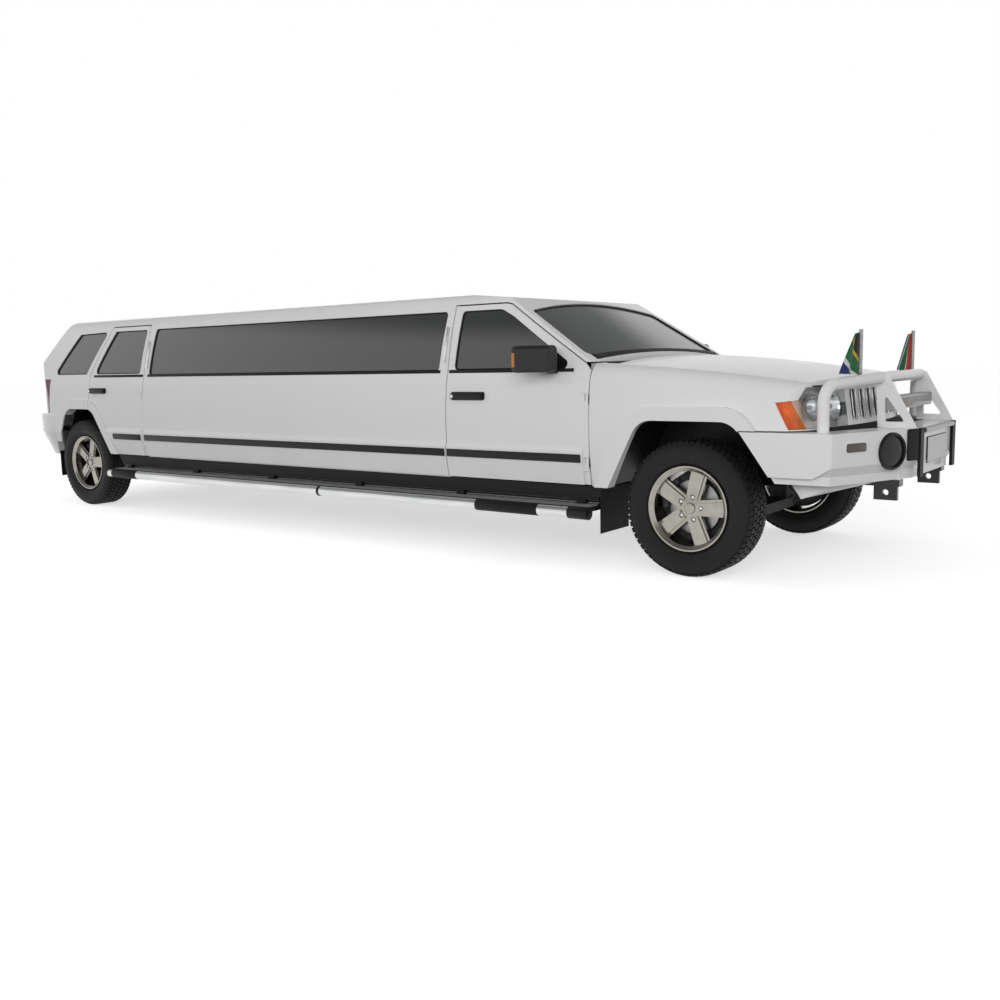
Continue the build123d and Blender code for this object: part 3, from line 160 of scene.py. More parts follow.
def block(name, low, high, rounding=0.0, steps=2):
    """Box between two corners, with rounded edges."""
    low, high = Vector(low), Vector(high)
    clear_selection()
    bpy.ops.mesh.primitive_cube_add(size=1.0, location=(low + high) / 2, scale=high - low)
    return settled(name, rounding, steps)


def rod(name, start, end, radius, rounding=0.0, sides=32, steps=2):
    """Round bar from one point to another."""
    start, end = Vector(start), Vector(end)
    turn = (end - start).to_track_quat("Z", "Y").to_euler()
    clear_selection()
    bpy.ops.mesh.primitive_cylinder_add(
        vertices=sides, radius=radius, depth=(end - start).length, location=(start + end) / 2, rotation=turn
    )
    return settled(name, rounding, steps, SHARP_EDGE)


def outline(name, corners, fill="NOTHING"):
    """Closed line, or flat face, through the given corners."""
    clear_selection()
    bpy.ops.mesh.primitive_circle_add(vertices=len(corners), radius=1.0, fill_type=fill)
    piece = named(name)
    for vertex, corner in zip(piece.data.vertices, corners):
        vertex.co = corner
    return piece


def plate(name, corners, depth, rounding=0.0, steps=2):
    """Flat piece with the given corners, drawn out along depth."""
    piece = outline(name, corners, "NGON")
    mode("EDIT")
    select_all()
    bpy.ops.mesh.extrude_region_move(TRANSFORM_OT_translate={"value": depth})
    select_all()
    bpy.ops.mesh.normals_make_consistent(inside=False)
    mode("OBJECT")
    if rounding:
        round_edges(piece, rounding, steps)
    return piece


def turned(name, profile, centre, steps, axis=(0.0, 1.0, 0.0)):
    """Closed section of (radius, offset along the axis) rows turned about an axis."""
    centre, axis = Vector(centre), Vector(axis).normalized()
    out = axis.orthogonal().normalized()
    piece = outline(name, [centre + axis * offset + out * radius for radius, offset in profile])
    mode("EDIT")
    select_all()
    bpy.ops.mesh.spin(steps=steps, angle=2 * math.pi, center=centre, axis=axis)
    select_all()
    bpy.ops.mesh.remove_doubles(threshold=MERGE_TURNED)
    bpy.ops.mesh.normals_make_consistent(inside=False)
    mode("OBJECT")
    return piece


def beaded(name, radius):
    """Turns the lines of the active piece into a round bead."""
    bpy.ops.object.convert(target="CURVE")
    curve = bpy.context.active_object.data
    curve.bevel_depth = radius
    curve.bevel_resolution = 2
    bpy.ops.object.convert(target="MESH")
    return named(name)


def rounded_rect(half_wide, half_tall, radius, steps=4):
    """Corners of a rectangle with rounded corners, about its middle."""
    corners = []
    for turn, (x, y) in enumerate(((1, 1), (-1, 1), (-1, -1), (1, -1))):
        for i in range(steps + 1):
            angle = math.pi / 2 * (turn + i / steps)
            corners.append((
                x * (half_wide - radius) + radius * math.cos(angle),
                y * (half_tall - radius) + radius * math.sin(angle),
            ))
    return corners


def arc_band(radii, arc, steps):
    """(radius, angle) rows: along an arc at the outer radius and back at the inner one."""
    angles = [math.radians(arc[0] + (arc[1] - arc[0]) * i / steps) for i in range(steps + 1)]
    return [(radii[1], angle) for angle in angles] + [(radii[0], angle) for angle in angles[::-1]]


def shares(start, end, count, gap):
    """Ends of equal lengths side by side, each shortened by the gap at both ends."""
    step = (end - start) / count
    return [(start + i * step + gap, start + (i + 1) * step - gap) for i in range(count)]


def part_of(name, node, keep):
    """Copy of a node with only the faces that keep accepts."""
    pick(nodes[node])
    bpy.ops.object.duplicate()
    piece = named(name)
    piece.parent = None
    for key in list(piece.keys()):
        del piece[key]
    mode("EDIT")
    bpy.ops.mesh.select_mode(type="FACE")
    select_all()
    bpy.ops.mesh.remove_doubles(threshold=MERGE_NODE)
    mode("OBJECT")
    select_faces(piece, lambda face: not keep(face))
    bpy.ops.mesh.delete(type="FACE")
    mode("OBJECT")
    return piece


def joined(name, pieces):
    clear_selection()
    for piece in pieces:
        piece.select_set(True)
    bpy.context.view_layer.objects.active = pieces[0]
    bpy.ops.object.join()
    return named(name)


def copied(piece, name, move):
    """A copy with its own mesh, moved by a matrix; a mirrored one is turned right side out."""
    pick(piece)
    bpy.ops.object.duplicate()
    twin = named(name)
    twin.data.transform(move)
    if move.determinant() < 0:
        twin.data.flip_normals()
    return twin


def fit(piece, body, finish, sharp=35.0):
    """Gives a piece its finish with its slot and sets it on its body."""
    piece.data.materials.clear()
    piece.data.materials.append(finish)
    pick(piece)
    bpy.ops.object.shade_smooth_by_angle(angle=math.radians(sharp))
    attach(piece, body)
    return piece


def pair(piece, body, finish, sharp=35.0):
    """Fits a left piece and its mirrored twin; body holds the word side where the bodies differ."""
    stem = piece.name
    twin = copied(piece, stem + "_right", MIRROR_Y)
    piece.name = stem + "_left"
    piece.data.name = piece.name
    fit(piece, body.replace("side", "left"), finish, sharp)
    fit(twin, body.replace("side", "right"), finish, sharp)


def met_at(node, start, way):
    """Where a ray meets a node, and which way the surface faces there."""
    met, where, facing, _ = nodes[node].ray_cast(Vector(start), Vector(way))
    if not met:
        raise ValueError(f"{node} is not met from {tuple(start)}")
    return where, facing


BESIDE = 3.0
IN_FRONT = 6.0


def skin_y(node, x, z):
    """How far out the left side of a node is at a station and height."""
    return met_at(node, (x, BESIDE, z), (0.0, -1.0, 0.0))[0].y


def seen_from_front(node, y, z):
    """Point of a node that shows from the front, and which way it faces."""
    return met_at(node, (IN_FRONT, y, z), (-1.0, 0.0, 0.0))


# Finishes

GRAIN_RUN = (0.3, 0.7)             # the part of a noise's range that a finish spreads out
DUST_Z = (0.35, 0.72)
DUST = (0.60, 0.57, 0.52, 1.0)
BAR_PAINTED_SHADE = (0.536, 0.560)         # height and half width of the bar's lower middle, painted black as shade so that the recovery eyes under the bar recede
MIRROR_LOW, MIRROR_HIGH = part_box("mirror_left")
MIRROR_MIDDLE = (MIRROR_LOW + MIRROR_HIGH) / 2
REPEATER = dict(from_end=0.010, from_back=0.034, half=0.040)
# columns: station from the front axle, height; the line between the headlamp's clear and amber parts
AMBER_LINE = ((0.553, 0.950), (0.611, 0.812))
FLAG_DARK = (0.010, 0.010, 0.010)
FLAG_GOLD = (0.62, 0.36, 0.02)
FLAG_GREEN = (0.010, 0.12, 0.04)
FLAG_PALE = (0.62, 0.62, 0.60)
FLAG_FIELDS = ((0.42, 0.030, 0.020), (0.012, 0.022, 0.13))


def shader(name):
    material = bpy.data.materials.new(name)
    material.use_nodes = True
    return material, material.node_tree, material.node_tree.nodes["Principled BSDF"]


def feed(tree, slot, value):
    """Links a socket to an input, or sets the input to a value."""
    if isinstance(value, bpy.types.NodeSocket):
        tree.links.new(value, slot)
    else:
        slot.default_value = value


def set_inputs(tree, node, inputs):
    for key, value in inputs.items():
        feed(tree, node.inputs[key], value)


def add(tree, kind, **settings):
    """Shader node; a setting goes to the input of that name, or else to the node itself."""
    node = tree.nodes.new("ShaderNode" + kind)
    for key, value in settings.items():
        if key in node.inputs:
            feed(tree, node.inputs[key], value)
        else:
            setattr(node, key, value)
    return node


def coordinates(tree, kind="Object"):
    return add(tree, "TexCoord").outputs[kind]


def axes(tree, kind="Object"):
    """X, Y and Z of a texture coordinate."""
    split = add(tree, "SeparateXYZ", Vector=coordinates(tree, kind))
    return split.outputs["X"], split.outputs["Y"], split.outputs["Z"]


def maths(tree, operation, *values):
    """Math node on sockets or numbers."""
    node = add(tree, "Math", operation=operation)
    for slot, value in zip(node.inputs, values):
        feed(tree, slot, value)
    return node.outputs["Value"]


def mixed(tree, fac, first, second, blend="MIX"):
    """Goes from the first colour to the second as fac goes from 0 to 1."""
    return add(tree, "MixRGB", blend_type=blend, Fac=fac, Color1=first, Color2=second).outputs["Color"]


def ramp_of(tree, fac, stops, interpolation="LINEAR"):
    """Colour ramp through rows of place and colour."""
    ramp = add(tree, "ValToRGB", Fac=fac)
    ramp.color_ramp.interpolation = interpolation
    for place, _ in stops[2:]:
        ramp.color_ramp.elements.new(place)
    for element, (place, colour) in zip(ramp.color_ramp.elements, stops):
        element.position = place
        element.color = (*colour, 1.0)
    return ramp.outputs["Color"]


def ranged(tree, value, run, low, high):
    """Maps a run of values on to the run from low to high."""
    spread = add(tree, "MapRange", Value=value)
    set_inputs(tree, spread, {"From Min": run[0], "From Max": run[1], "To Min": low, "To Max": high})
    return spread.outputs["Result"]


def grain(tree, scale, stretch=(1.0, 1.0, 1.0)):
    """Noise on Object coordinates; scale is its size in metres."""
    spread = add(tree, "Mapping", Vector=coordinates(tree), Scale=[part / scale for part in stretch])
    return add(tree, "TexNoise", Vector=spread.outputs["Vector"], Scale=1.0, Detail=3.0).outputs["Fac"]


def blend_colours(tree, fac, dark, light):
    return ramp_of(tree, fac, ((GRAIN_RUN[0], dark), (GRAIN_RUN[1], light)))


def vary(tree, fac, low, high):
    return ranged(tree, fac, GRAIN_RUN, low, high)


def relief(tree, surface, height, depth):
    bump = add(tree, "Bump", Strength=1.0, Distance=depth, Height=height)
    feed(tree, surface.inputs["Normal"], bump.outputs["Normal"])


def grained(name, dark, light, rough, size, depth, metal=0.0, stretch=(1.0, 1.0, 1.0), shine=0.5):
    """Finish whose colour, gloss and relief follow one grain of the given size."""
    material, tree, surface = shader(name)
    fac = grain(tree, size, stretch)
    set_inputs(tree, surface, {
        "Base Color": blend_colours(tree, fac, dark, light),
        "Roughness": vary(tree, fac, *rough),
        "Metallic": metal,
        "Specular IOR Level": shine,
    })
    relief(tree, surface, fac, depth)
    return material


def white_paint(name, painted_shade_below=None):
    """Glossy white enamel, dusty low down; where a height is given, painted shade in black below it near the
    middle.
    """
    material, tree, surface = shader(name)
    _, y, z = axes(tree)
    clean = blend_colours(tree, grain(tree, 0.9), (0.800, 0.803, 0.806), (0.816, 0.816, 0.813))
    patches = vary(tree, grain(tree, 0.20), 0.0, 0.22)
    dusty = maths(tree, "MULTIPLY", ranged(tree, z, DUST_Z, 1.0, 0.0), patches)
    colour = mixed(tree, dusty, clean, DUST)
    # painted shade: black on the lower middle, where the recovery eyes hang under the bar
    if painted_shade_below is not None:
        height, half = painted_shade_below
        near = maths(tree, "LESS_THAN", maths(tree, "ABSOLUTE", y), half)
        area = maths(tree, "MULTIPLY", near, maths(tree, "LESS_THAN", z, height))
        colour = mixed(tree, area, colour, (0.02, 0.02, 0.02, 1.0))
    set_inputs(tree, surface, {
        "Base Color": colour,
        "Roughness": vary(tree, grain(tree, 0.30), 0.20, 0.25),
        "Specular IOR Level": 0.25,
        "Coat Weight": 0.2,
        "Coat Roughness": 0.04,
    })
    relief(tree, surface, grain(tree, 0.010), 0.000008)
    return material


def tinted_glass(name, colour, clear, mirror):
    """Smooth tinted glass with faint smears."""
    material, tree, surface = shader(name)
    set_inputs(tree, surface, {
        "Base Color": (*colour, 1.0),
        "Transmission Weight": clear,
        "IOR": 1.52,
        "Coat Weight": mirror,
        "Coat Roughness": 0.01,
        "Roughness": vary(tree, grain(tree, 0.25, (1.0, 1.0, 3.0)), 0.0, 0.05),
    })
    return material


def lamp_lens(name, colour, clear, flute):
    """Moulded lamp lens with upright flutes."""
    material, tree, surface = shader(name)
    flutes = add(tree, "TexWave", Vector=coordinates(tree), Scale=1.0 / flute, Distortion=0.0)
    flutes.bands_direction = "Y"
    tone = [part * 0.8 for part in colour]
    set_inputs(tree, surface, {
        "Base Color": blend_colours(tree, grain(tree, 0.05), tone, colour),
        "Transmission Weight": clear,
        "Roughness": 0.04,
        "Coat Weight": 0.1,
    })
    relief(tree, surface, flutes.outputs["Fac"], 0.0004)
    return material


def tyre_rubber():
    """Black rubber with a faint mottle and a fine relief."""
    material, tree, surface = shader("tyre_rubber")
    fac = grain(tree, 0.03)
    set_inputs(tree, surface, {
        "Base Color": blend_colours(tree, fac, (0.006, 0.006, 0.006), (0.017, 0.016, 0.015)),
        "Roughness": vary(tree, fac, 0.50, 0.70),
        "Specular IOR Level": 0.25,
    })
    relief(tree, surface, grain(tree, 0.002), 0.0001)
    return material


def mirror_shell():
    """Grained black plastic with an amber repeater at the outer end."""
    material, tree, surface = shader("mirror_shell")
    x, y, z = axes(tree)
    outer = maths(tree, "GREATER_THAN", maths(tree, "ABSOLUTE", y), MIRROR_HIGH.y - REPEATER["from_end"])
    back = maths(tree, "LESS_THAN", x, MIRROR_LOW.x + REPEATER["from_back"])
    level = maths(tree, "COMPARE", z, MIRROR_MIDDLE.z, REPEATER["half"])
    lens = maths(tree, "MULTIPLY", maths(tree, "MULTIPLY", outer, back), level)
    black = blend_colours(tree, grain(tree, 0.002), (0.012, 0.012, 0.013), (0.03, 0.03, 0.032))
    set_inputs(tree, surface, {
        "Base Color": mixed(tree, lens, black, (0.55, 0.20, 0.03, 1.0)),
        "Roughness": 0.36,
        "Specular IOR Level": 0.3,
    })
    relief(tree, surface, grain(tree, 0.0015), 0.00005)
    return material


def amber_end(tree):
    """1 behind the slanted line that parts the amber end from the clear cover."""
    x, _, z = axes(tree)
    (x0, z0), (x1, z1) = AMBER_LINE
    slope = (x1 - x0) / (z0 - z1)
    return maths(tree, "LESS_THAN", maths(tree, "MULTIPLY_ADD", z, slope, x), ahead(x0) + z0 * slope)


def bucket_finish():
    """Grey lamp bucket, pale behind the amber end."""
    material, tree, surface = shader("headlamp_bucket")
    fac = grain(tree, 0.03)
    grey = blend_colours(tree, fac, (0.28, 0.29, 0.30), (0.40, 0.41, 0.42))
    set_inputs(tree, surface, {
        "Base Color": mixed(tree, amber_end(tree), grey, (0.85, 0.80, 0.72, 1.0)),
        "Roughness": vary(tree, fac, 0.35, 0.50),
    })
    return material


def cover_finish():
    """Clear moulded cover whose outer end is amber."""
    material, tree, surface = shader("headlamp_cover")
    clear = blend_colours(tree, grain(tree, 0.08), (0.90, 0.92, 0.93), (0.97, 0.98, 0.98))
    set_inputs(tree, surface, {
        "Base Color": mixed(tree, amber_end(tree), clear, (1.0, 0.30, 0.03, 1.0)),
        "Transmission Weight": 1.0,
        "Roughness": 0.03,
        "IOR": 1.25,
        "Coat Weight": 0.6,
    })
    return material


def flag_finish():
    """Cloth with a forked band of green between red, blue and a dark wedge."""
    material, tree, surface = shader("flag_cloth")
    u, v, _ = axes(tree, "UV")
    across = maths(tree, "SUBTRACT", v, 0.5)
    fork = maths(tree, "MAXIMUM", maths(tree, "SUBTRACT", 0.5, u), 0.0)
    band = maths(tree, "SUBTRACT", maths(tree, "ABSOLUTE", across), fork)
    level = maths(tree, "ADD", band, 0.5)
    stops = ((0.0, FLAG_DARK), (0.33, FLAG_GOLD), (0.39, FLAG_GREEN), (0.61, FLAG_PALE))
    red, blue = [ramp_of(tree, level, (*stops, (0.67, field)), "CONSTANT") for field in FLAG_FIELDS]
    clean = mixed(tree, maths(tree, "GREATER_THAN", across, 0.0), blue, red)
    wear = blend_colours(tree, grain(tree, 0.03), (0.85, 0.85, 0.85), (1.0, 1.0, 1.0))
    set_inputs(tree, surface, {
        "Base Color": mixed(tree, 1.0, clean, wear, "MULTIPLY"),
        "Roughness": 0.75,
        "Sheen Weight": 0.2,
    })
    relief(tree, surface, grain(tree, 0.0008), 0.0001)
    return material


paint = white_paint("white_paint")
# the bull bar's paint, with painted shade in black on its lower middle
bar_paint_with_shade = white_paint("bar_paint_with_shade", BAR_PAINTED_SHADE)
dark_paint = grained(
    "dark_paint", (0.006, 0.006, 0.007), (0.016, 0.016, 0.015), (0.45, 0.65), 0.05, 0.0002, shine=0.2
)
side_glass = tinted_glass("side_glass", (0.010, 0.012, 0.014), 0.12, 1.0)
screen_glass = tinted_glass("screen_glass", (0.050, 0.060, 0.068), 0.60, 0.0)
chrome = grained(
    "chrome", (0.62, 0.63, 0.64), (0.74, 0.74, 0.74), (0.06, 0.14), 0.06, 0.00002, 1.0, (0.2, 1.0, 1.0)
)
alloy = grained("alloy", (0.31, 0.295, 0.26), (0.38, 0.365, 0.33), (0.17, 0.23), 0.06, 0.00001, 1.0)
silver = grained("silver", (0.66, 0.67, 0.68), (0.78, 0.78, 0.78), (0.12, 0.20), 0.03, 0.00001, 1.0)
board_rib = grained("board_rib", (0.14, 0.14, 0.14), (0.24, 0.24, 0.24), (0.30, 0.45), 0.01, 0.0002)
steel = grained("steel", (0.26, 0.26, 0.27), (0.40, 0.40, 0.41), (0.30, 0.45), 0.02, 0.00008, 1.0)
castings = grained("castings", (0.035, 0.035, 0.037), (0.085, 0.08, 0.078), (0.55, 0.8), 0.015, 0.0006, 0.4)
rubber_black = grained(
    "rubber_black", (0.004, 0.004, 0.004), (0.011, 0.011, 0.011), (0.45, 0.60), 0.01, 0.0001, shine=0.2
)
plastic_black = grained(
    "plastic_black", (0.005, 0.005, 0.006), (0.013, 0.013, 0.014), (0.32, 0.45), 0.004, 0.00005, shine=0.25
)
leather = grained("leather", (0.030, 0.027, 0.025), (0.062, 0.056, 0.052), (0.40, 0.60), 0.004, 0.0004)
tyre_black = tyre_rubber()
shell_black = mirror_shell()
lamp_black = grained(
    "lamp_black", (0.008, 0.008, 0.008), (0.016, 0.016, 0.016), (0.12, 0.20), 0.03, 0.00002, shine=0.3
)
lens_clear = lamp_lens("lens_clear", (0.90, 0.92, 0.94), 1.0, 0.05)
lens_red = lamp_lens("lens_red", (0.10, 0.004, 0.006), 0.1, 0.04)
lens_smoke = lamp_lens("lens_smoke", (0.10, 0.075, 0.055), 0.2, 0.03)
lamp_cover = cover_finish()
lamp_bucket = bucket_finish()
plate_blank = grained("plate_blank", (0.62, 0.63, 0.64), (0.72, 0.72, 0.72), (0.35, 0.5), 0.02, 0.0001)
flag_cloth = flag_finish()

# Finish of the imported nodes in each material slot
NODE_FINISH = {
    "paint_white": paint,
    "dark_paint": dark_paint,
    "tinted_glass": side_glass,
    "lamp_glass": lens_clear,
    "lamp_red": lens_red,
    "alloy": alloy,
    "chrome": chrome,
    "steel": steel,
    "cast_metal": castings,
    "tyre": tyre_black,
    "black_plastic": plastic_black,
    "black_rubber": rubber_black,
    "seat_leather": leather,
    "flag_cloth": leather,
}


def dress_nodes():
    """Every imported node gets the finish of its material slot, or one of its own."""
    special = {
        "windscreen": screen_glass,
        "mirror_left": shell_black,
        "mirror_right": shell_black,
        "driving_lamps": plastic_black,
        "radiator": castings,
        "bull_bar": bar_paint_with_shade,
        "light_bar": steel,
    }
    for row in frame["record"]["subparts"]:
        node = nodes[row["node"]]
        node.data.materials.clear()
        node.data.materials.append(special.get(row["node"], NODE_FINISH[row["material_slot"]]))


# Tyres

TREAD_STEPS = 256
TREAD_DEPTH = 0.0085
TREAD_REACH = (0.354, 0.3668)      # radii between which faces belong to the tread
BLOCK_STEPS = 4
# columns: offset of the inner edge, offset of the outer edge, first step of the pattern
TREAD_ROWS = ((0.006, 0.038, 0), (0.045, 0.073, 2), (0.080, 0.104, 1))
# columns: radius, offset from the wheel's middle plane; bead to tread floor
TYRE_WALL = (
    (0.2165, 0.0890), (0.2360, 0.0895), (0.2400, 0.0960), (0.2475, 0.1030), (0.2500, 0.1060),
    (0.2540, 0.1065), (0.2580, 0.1080), (0.2700, 0.1130), (0.2860, 0.1185), (0.3020, 0.1210),
    (0.3200, 0.1195), (0.3380, 0.1150), (0.3480, 0.1090), (0.3560, 0.1035), (0.3635, 0.0900),
    (0.3660, 0.0800), (0.3660, 0.0730), (0.3662, 0.0450), (0.3662, 0.0380), (0.3664, 0.0060),
)


def tread_blocks(piece, centre):
    """Lifts the tread blocks off the turned tyre, row by row."""
    step = 2 * math.pi / TREAD_STEPS
    for sign in (1.0, -1.0):
        for inner, outer, start in TREAD_ROWS:
            shift = start if sign > 0 else start + 2

            def lifted(face):
                place = face.center - centre
                reach = math.hypot(place.x, place.z)
                if not (TREAD_REACH[0] <= reach <= TREAD_REACH[1] and inner < sign * place.y < outer):
                    return False
                turn = int((math.atan2(place.x, place.z) + math.pi) / step)
                return (turn + shift) % BLOCK_STEPS != 0

            select_faces(piece, lifted)
            bpy.ops.mesh.extrude_region_shrink_fatten(TRANSFORM_OT_shrink_fatten={"value": TREAD_DEPTH})
            mode("OBJECT")


def make_tyres():
    """One tyre with its tread, copied to the four wheels."""
    centre = joint_at["spin_front_left"]
    profile = list(TYRE_WALL) + [(radius, -offset) for radius, offset in TYRE_WALL[::-1]]
    first = turned("tyre_front_left_tread", profile, centre, TREAD_STEPS)
    tread_blocks(first, centre)
    made = [("front_left", first)]
    for name in ("front_right", "rear_left", "rear_right"):
        move = Matrix.Translation(joint_at["spin_" + name] - centre)
        made.append((name, copied(first, f"tyre_{name}_tread", move)))
    for name, piece in made:
        fit(piece, "wheel_" + name, tyre_black, 30.0)
        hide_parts("tyre_" + name)


# Wheel nuts, caps and valves

SPOKES = 5
SPOKE_LEAN = math.radians(15.0)
NUT_CIRCLE = 0.0635
NUT_R = 0.0105
NUT_Y = (0.049, 0.066)
WASHER_R = 0.0135
WASHER_Y = (0.049, 0.053)
CAP_R = 0.031
CAP_Y = (0.060, 0.0745)
VALVE_CIRCLE = 0.196
VALVE_R = 0.005
VALVE_Y = (0.055, 0.088)


def on_wheel(hub, angle, radius, offset=0.0):
    """Point at an angle forward from the top, at an offset along the axle."""
    return hub + Vector((math.sin(angle) * radius, offset, math.cos(angle) * radius))


def make_wheel_fittings():
    for where in ENDS:
        for side, sign in SIDES:
            wheel = f"{where}_{side}"
            hub = joint_at["spin_" + wheel]
            lean = sign * SPOKE_LEAN

            def axial(name, angle, circle, offsets, *sizes):
                ends = [on_wheel(hub, angle, circle, sign * offset) for offset in offsets]
                return rod(name, *ends, *sizes)

            nuts = []
            for i in range(SPOKES):
                angle = 2 * math.pi * i / SPOKES - lean
                nuts.append(axial("nut", angle, NUT_CIRCLE, NUT_Y, NUT_R, 0.003, 6))
                nuts.append(axial("washer", angle, NUT_CIRCLE, WASHER_Y, WASHER_R, 0.001, 20))
            fit(joined("nuts_" + wheel, nuts), "wheel_" + wheel, chrome)
            cap = axial("cap_" + wheel, 0.0, 0.0, CAP_Y, CAP_R, 0.004, 48, 3)
            fit(cap, "wheel_" + wheel, alloy)
            angle = math.pi / SPOKES - lean
            valve = axial("valve_" + wheel, angle, VALVE_CIRCLE, VALVE_Y, VALVE_R, 0.0015, 16)
            fit(valve, "wheel_" + wheel, rubber_black)


# Brakes: a disc that turns with the wheel, a shield and a caliper that don't

DISC_R = (0.040, 0.150)
DISC_Y = (-0.012, 0.006)
SHIELD_R = (0.046, 0.196)
SHIELD_Y = (-0.032, -0.028)
CALIPER_R = (0.154, 0.190)
CALIPER_Y = (-0.030, 0.022)
CALIPER_ARC = (35.0, 95.0)


def flat_ring(name, radii, offsets, hub, rounding):
    """Ring of rectangular section about the axle."""
    (r0, r1), (y0, y1) = radii, offsets
    piece = turned(name, [(r0, y0), (r1, y0), (r1, y1), (r0, y1)], hub, 64)
    return round_edges(piece, rounding)


def make_brakes():
    for where, carrier in (("front", "steer_side"), ("rear", "body")):
        hub = joint_at[f"spin_{where}_left"]
        pair(flat_ring("disc_" + where, DISC_R, DISC_Y, hub, 0.0015), f"wheel_{where}_side", steel)
        pair(flat_ring("shield_" + where, SHIELD_R, SHIELD_Y, hub, 0.0012), carrier, castings)
        rows = arc_band(CALIPER_R, CALIPER_ARC, 8)
        corners = [on_wheel(hub, -angle, radius, CALIPER_Y[0]) for radius, angle in rows]
        caliper = plate("caliper_" + where, corners, (0.0, CALIPER_Y[1] - CALIPER_Y[0], 0.0), 0.006, 3)
        pair(caliper, carrier, castings)


# Side strips, belt mouldings, handles and pillar lamps

STRIP_Z = (0.600, 0.648)
STRIP_PROUD = 0.008
STRIP_SUNK = 0.002
# columns: node, body, rear end, front end
STRIPS = (
    ("door_front", "door_front_side", ahead(-1.652), ahead(-0.655)),
    ("side_panel", "body", behind(0.935), ahead(-1.672)),
    ("door_rear", "door_rear_side", behind(0.486), behind(0.880)),
)


def make_side_strips():
    for node, body, x0, x1 in STRIPS:
        low, high = [skin_y(node + "_left", (x0 + x1) / 2, z) for z in STRIP_Z]
        corners = [
            (x0, low - STRIP_SUNK, STRIP_Z[0]),
            (x0, low + STRIP_PROUD, STRIP_Z[0]),
            (x0, high + STRIP_PROUD, STRIP_Z[1]),
            (x0, high - STRIP_SUNK, STRIP_Z[1]),
        ]
        pair(plate("strip_" + node, corners, (x1 - x0, 0.0, 0.0), 0.004, 3), body, plastic_black)


BELT_SKIN_Z = 1.118                # height at which the skin below the glass is met
BELT_Z = (1.117, 1.138)
BELT_SUNK = 0.014
BELT_PROUD = 0.003
# columns: node, body, rear end, front end
BELTS = (
    ("door_front", "door_front_side", ahead(-1.650), ahead(-0.720)),
    ("side_panel", "body", behind(0.975), ahead(-1.722)),
    ("door_rear", "door_rear_side", behind(0.200), behind(0.912)),
)


def make_belts():
    for node, body, x0, x1 in BELTS:
        y = skin_y(node + "_left", (x0 + x1) / 2, BELT_SKIN_Z)
        belt = block("belt_" + node, (x0, y - BELT_SUNK, BELT_Z[0]), (x1, y + BELT_PROUD, BELT_Z[1]), 0.004)
        pair(belt, body, rubber_black)


# columns: door, rear end, front end, lower edge, upper edge
HANDLES = (
    ("front", ahead(-1.618), ahead(-1.352), 0.951, 1.003),
    ("rear", ahead(-5.675), ahead(-5.434), 0.980, 1.028),
)
# columns: name, start outside the skin, thickness, margins along and up, rounding, its steps
HANDLE_LAYERS = (
    ("handle_base_", -0.006, 0.012, 0.0, 0.0, 0.003, 2),
    ("handle_grip_", 0.004, 0.024, 0.008, 0.006, 0.008, 3),
)
LOCK = dict(from_end=0.026, start=0.02, end=0.0305, radius=0.011)


def make_handles():
    for where, x0, x1, z0, z1 in HANDLES:
        x, z = (x0 + x1) / 2, (z0 + z1) / 2
        wide, tall = (x1 - x0) / 2, (z1 - z0) / 2
        y = skin_y(f"door_{where}_left", x, z)
        body = f"door_{where}_side"
        for name, start, thick, along, up, rounding, steps in HANDLE_LAYERS:
            line = rounded_rect(wide - along, tall - up, tall * 0.6)
            corners = [(x + a, y + start, z + b) for a, b in line]
            pair(plate(name + where, corners, (0.0, thick, 0.0), rounding, steps), body, plastic_black)
        ends = [(x0 + LOCK["from_end"], y + LOCK[end], z) for end in ("start", "end")]
        pair(rod("lock_" + where, *ends, LOCK["radius"], 0.002, 24), body, chrome)


PILLAR_LAMP_Z = (1.185, 1.405)
PILLAR_LAMP_X = (ahead(-1.693), behind(0.957))
PILLAR_LAMP_R = 0.0085
PILLAR_LAMP_PROUD = 0.008
PILLAR_FOOT = dict(from_end=0.016, reach=0.018, radius=0.006)


def make_pillar_lamps():
    for where, x in zip(ENDS, PILLAR_LAMP_X):
        ends = [Vector((x, skin_y("side_panel_left", x, z) + PILLAR_LAMP_PROUD, z)) for z in PILLAR_LAMP_Z]
        pair(rod("pillar_lamp_" + where, *ends, PILLAR_LAMP_R, 0.006, 24, 3), "body", chrome)
        feet = []
        for end, lift in zip(ends, (PILLAR_FOOT["from_end"], -PILLAR_FOOT["from_end"])):
            root = end + UP * lift
            start = root - Vector((0.0, PILLAR_FOOT["reach"], 0.0))
            feet.append(rod("foot", start, root, PILLAR_FOOT["radius"], 0.001, 16))
        pair(joined("pillar_lamp_feet_" + where, feet), "body", plastic_black)


# Window seals

SEAL_R = 0.008
SAME_WAY = 0.6                     # least cosine between a face's normal and a direction it faces
SCREEN_FACING = (0.51, 0.0, 0.86)
# columns: name, glass node, body, direction that the glass faces
GLAZING = (
    ("window_front_left", "window_front_left", "door_front_left", (0.0, 1.0, 0.0)),
    ("window_front_right", "window_front_right", "door_front_right", (0.0, -1.0, 0.0)),
    ("window_rear_left", "window_rear_left", "door_rear_left", (0.0, 1.0, 0.0)),
    ("window_rear_right", "window_rear_right", "door_rear_right", (0.0, -1.0, 0.0)),
    ("windscreen", "windscreen", "body", SCREEN_FACING),
    ("tailgate_window", "tailgate_window", "tailgate", (-0.70, 0.0, 0.72)),
    ("fixed_left", "fixed_windows", "body", (0.0, 1.0, 0.0)),
    ("fixed_right", "fixed_windows", "body", (0.0, -1.0, 0.0)),
)


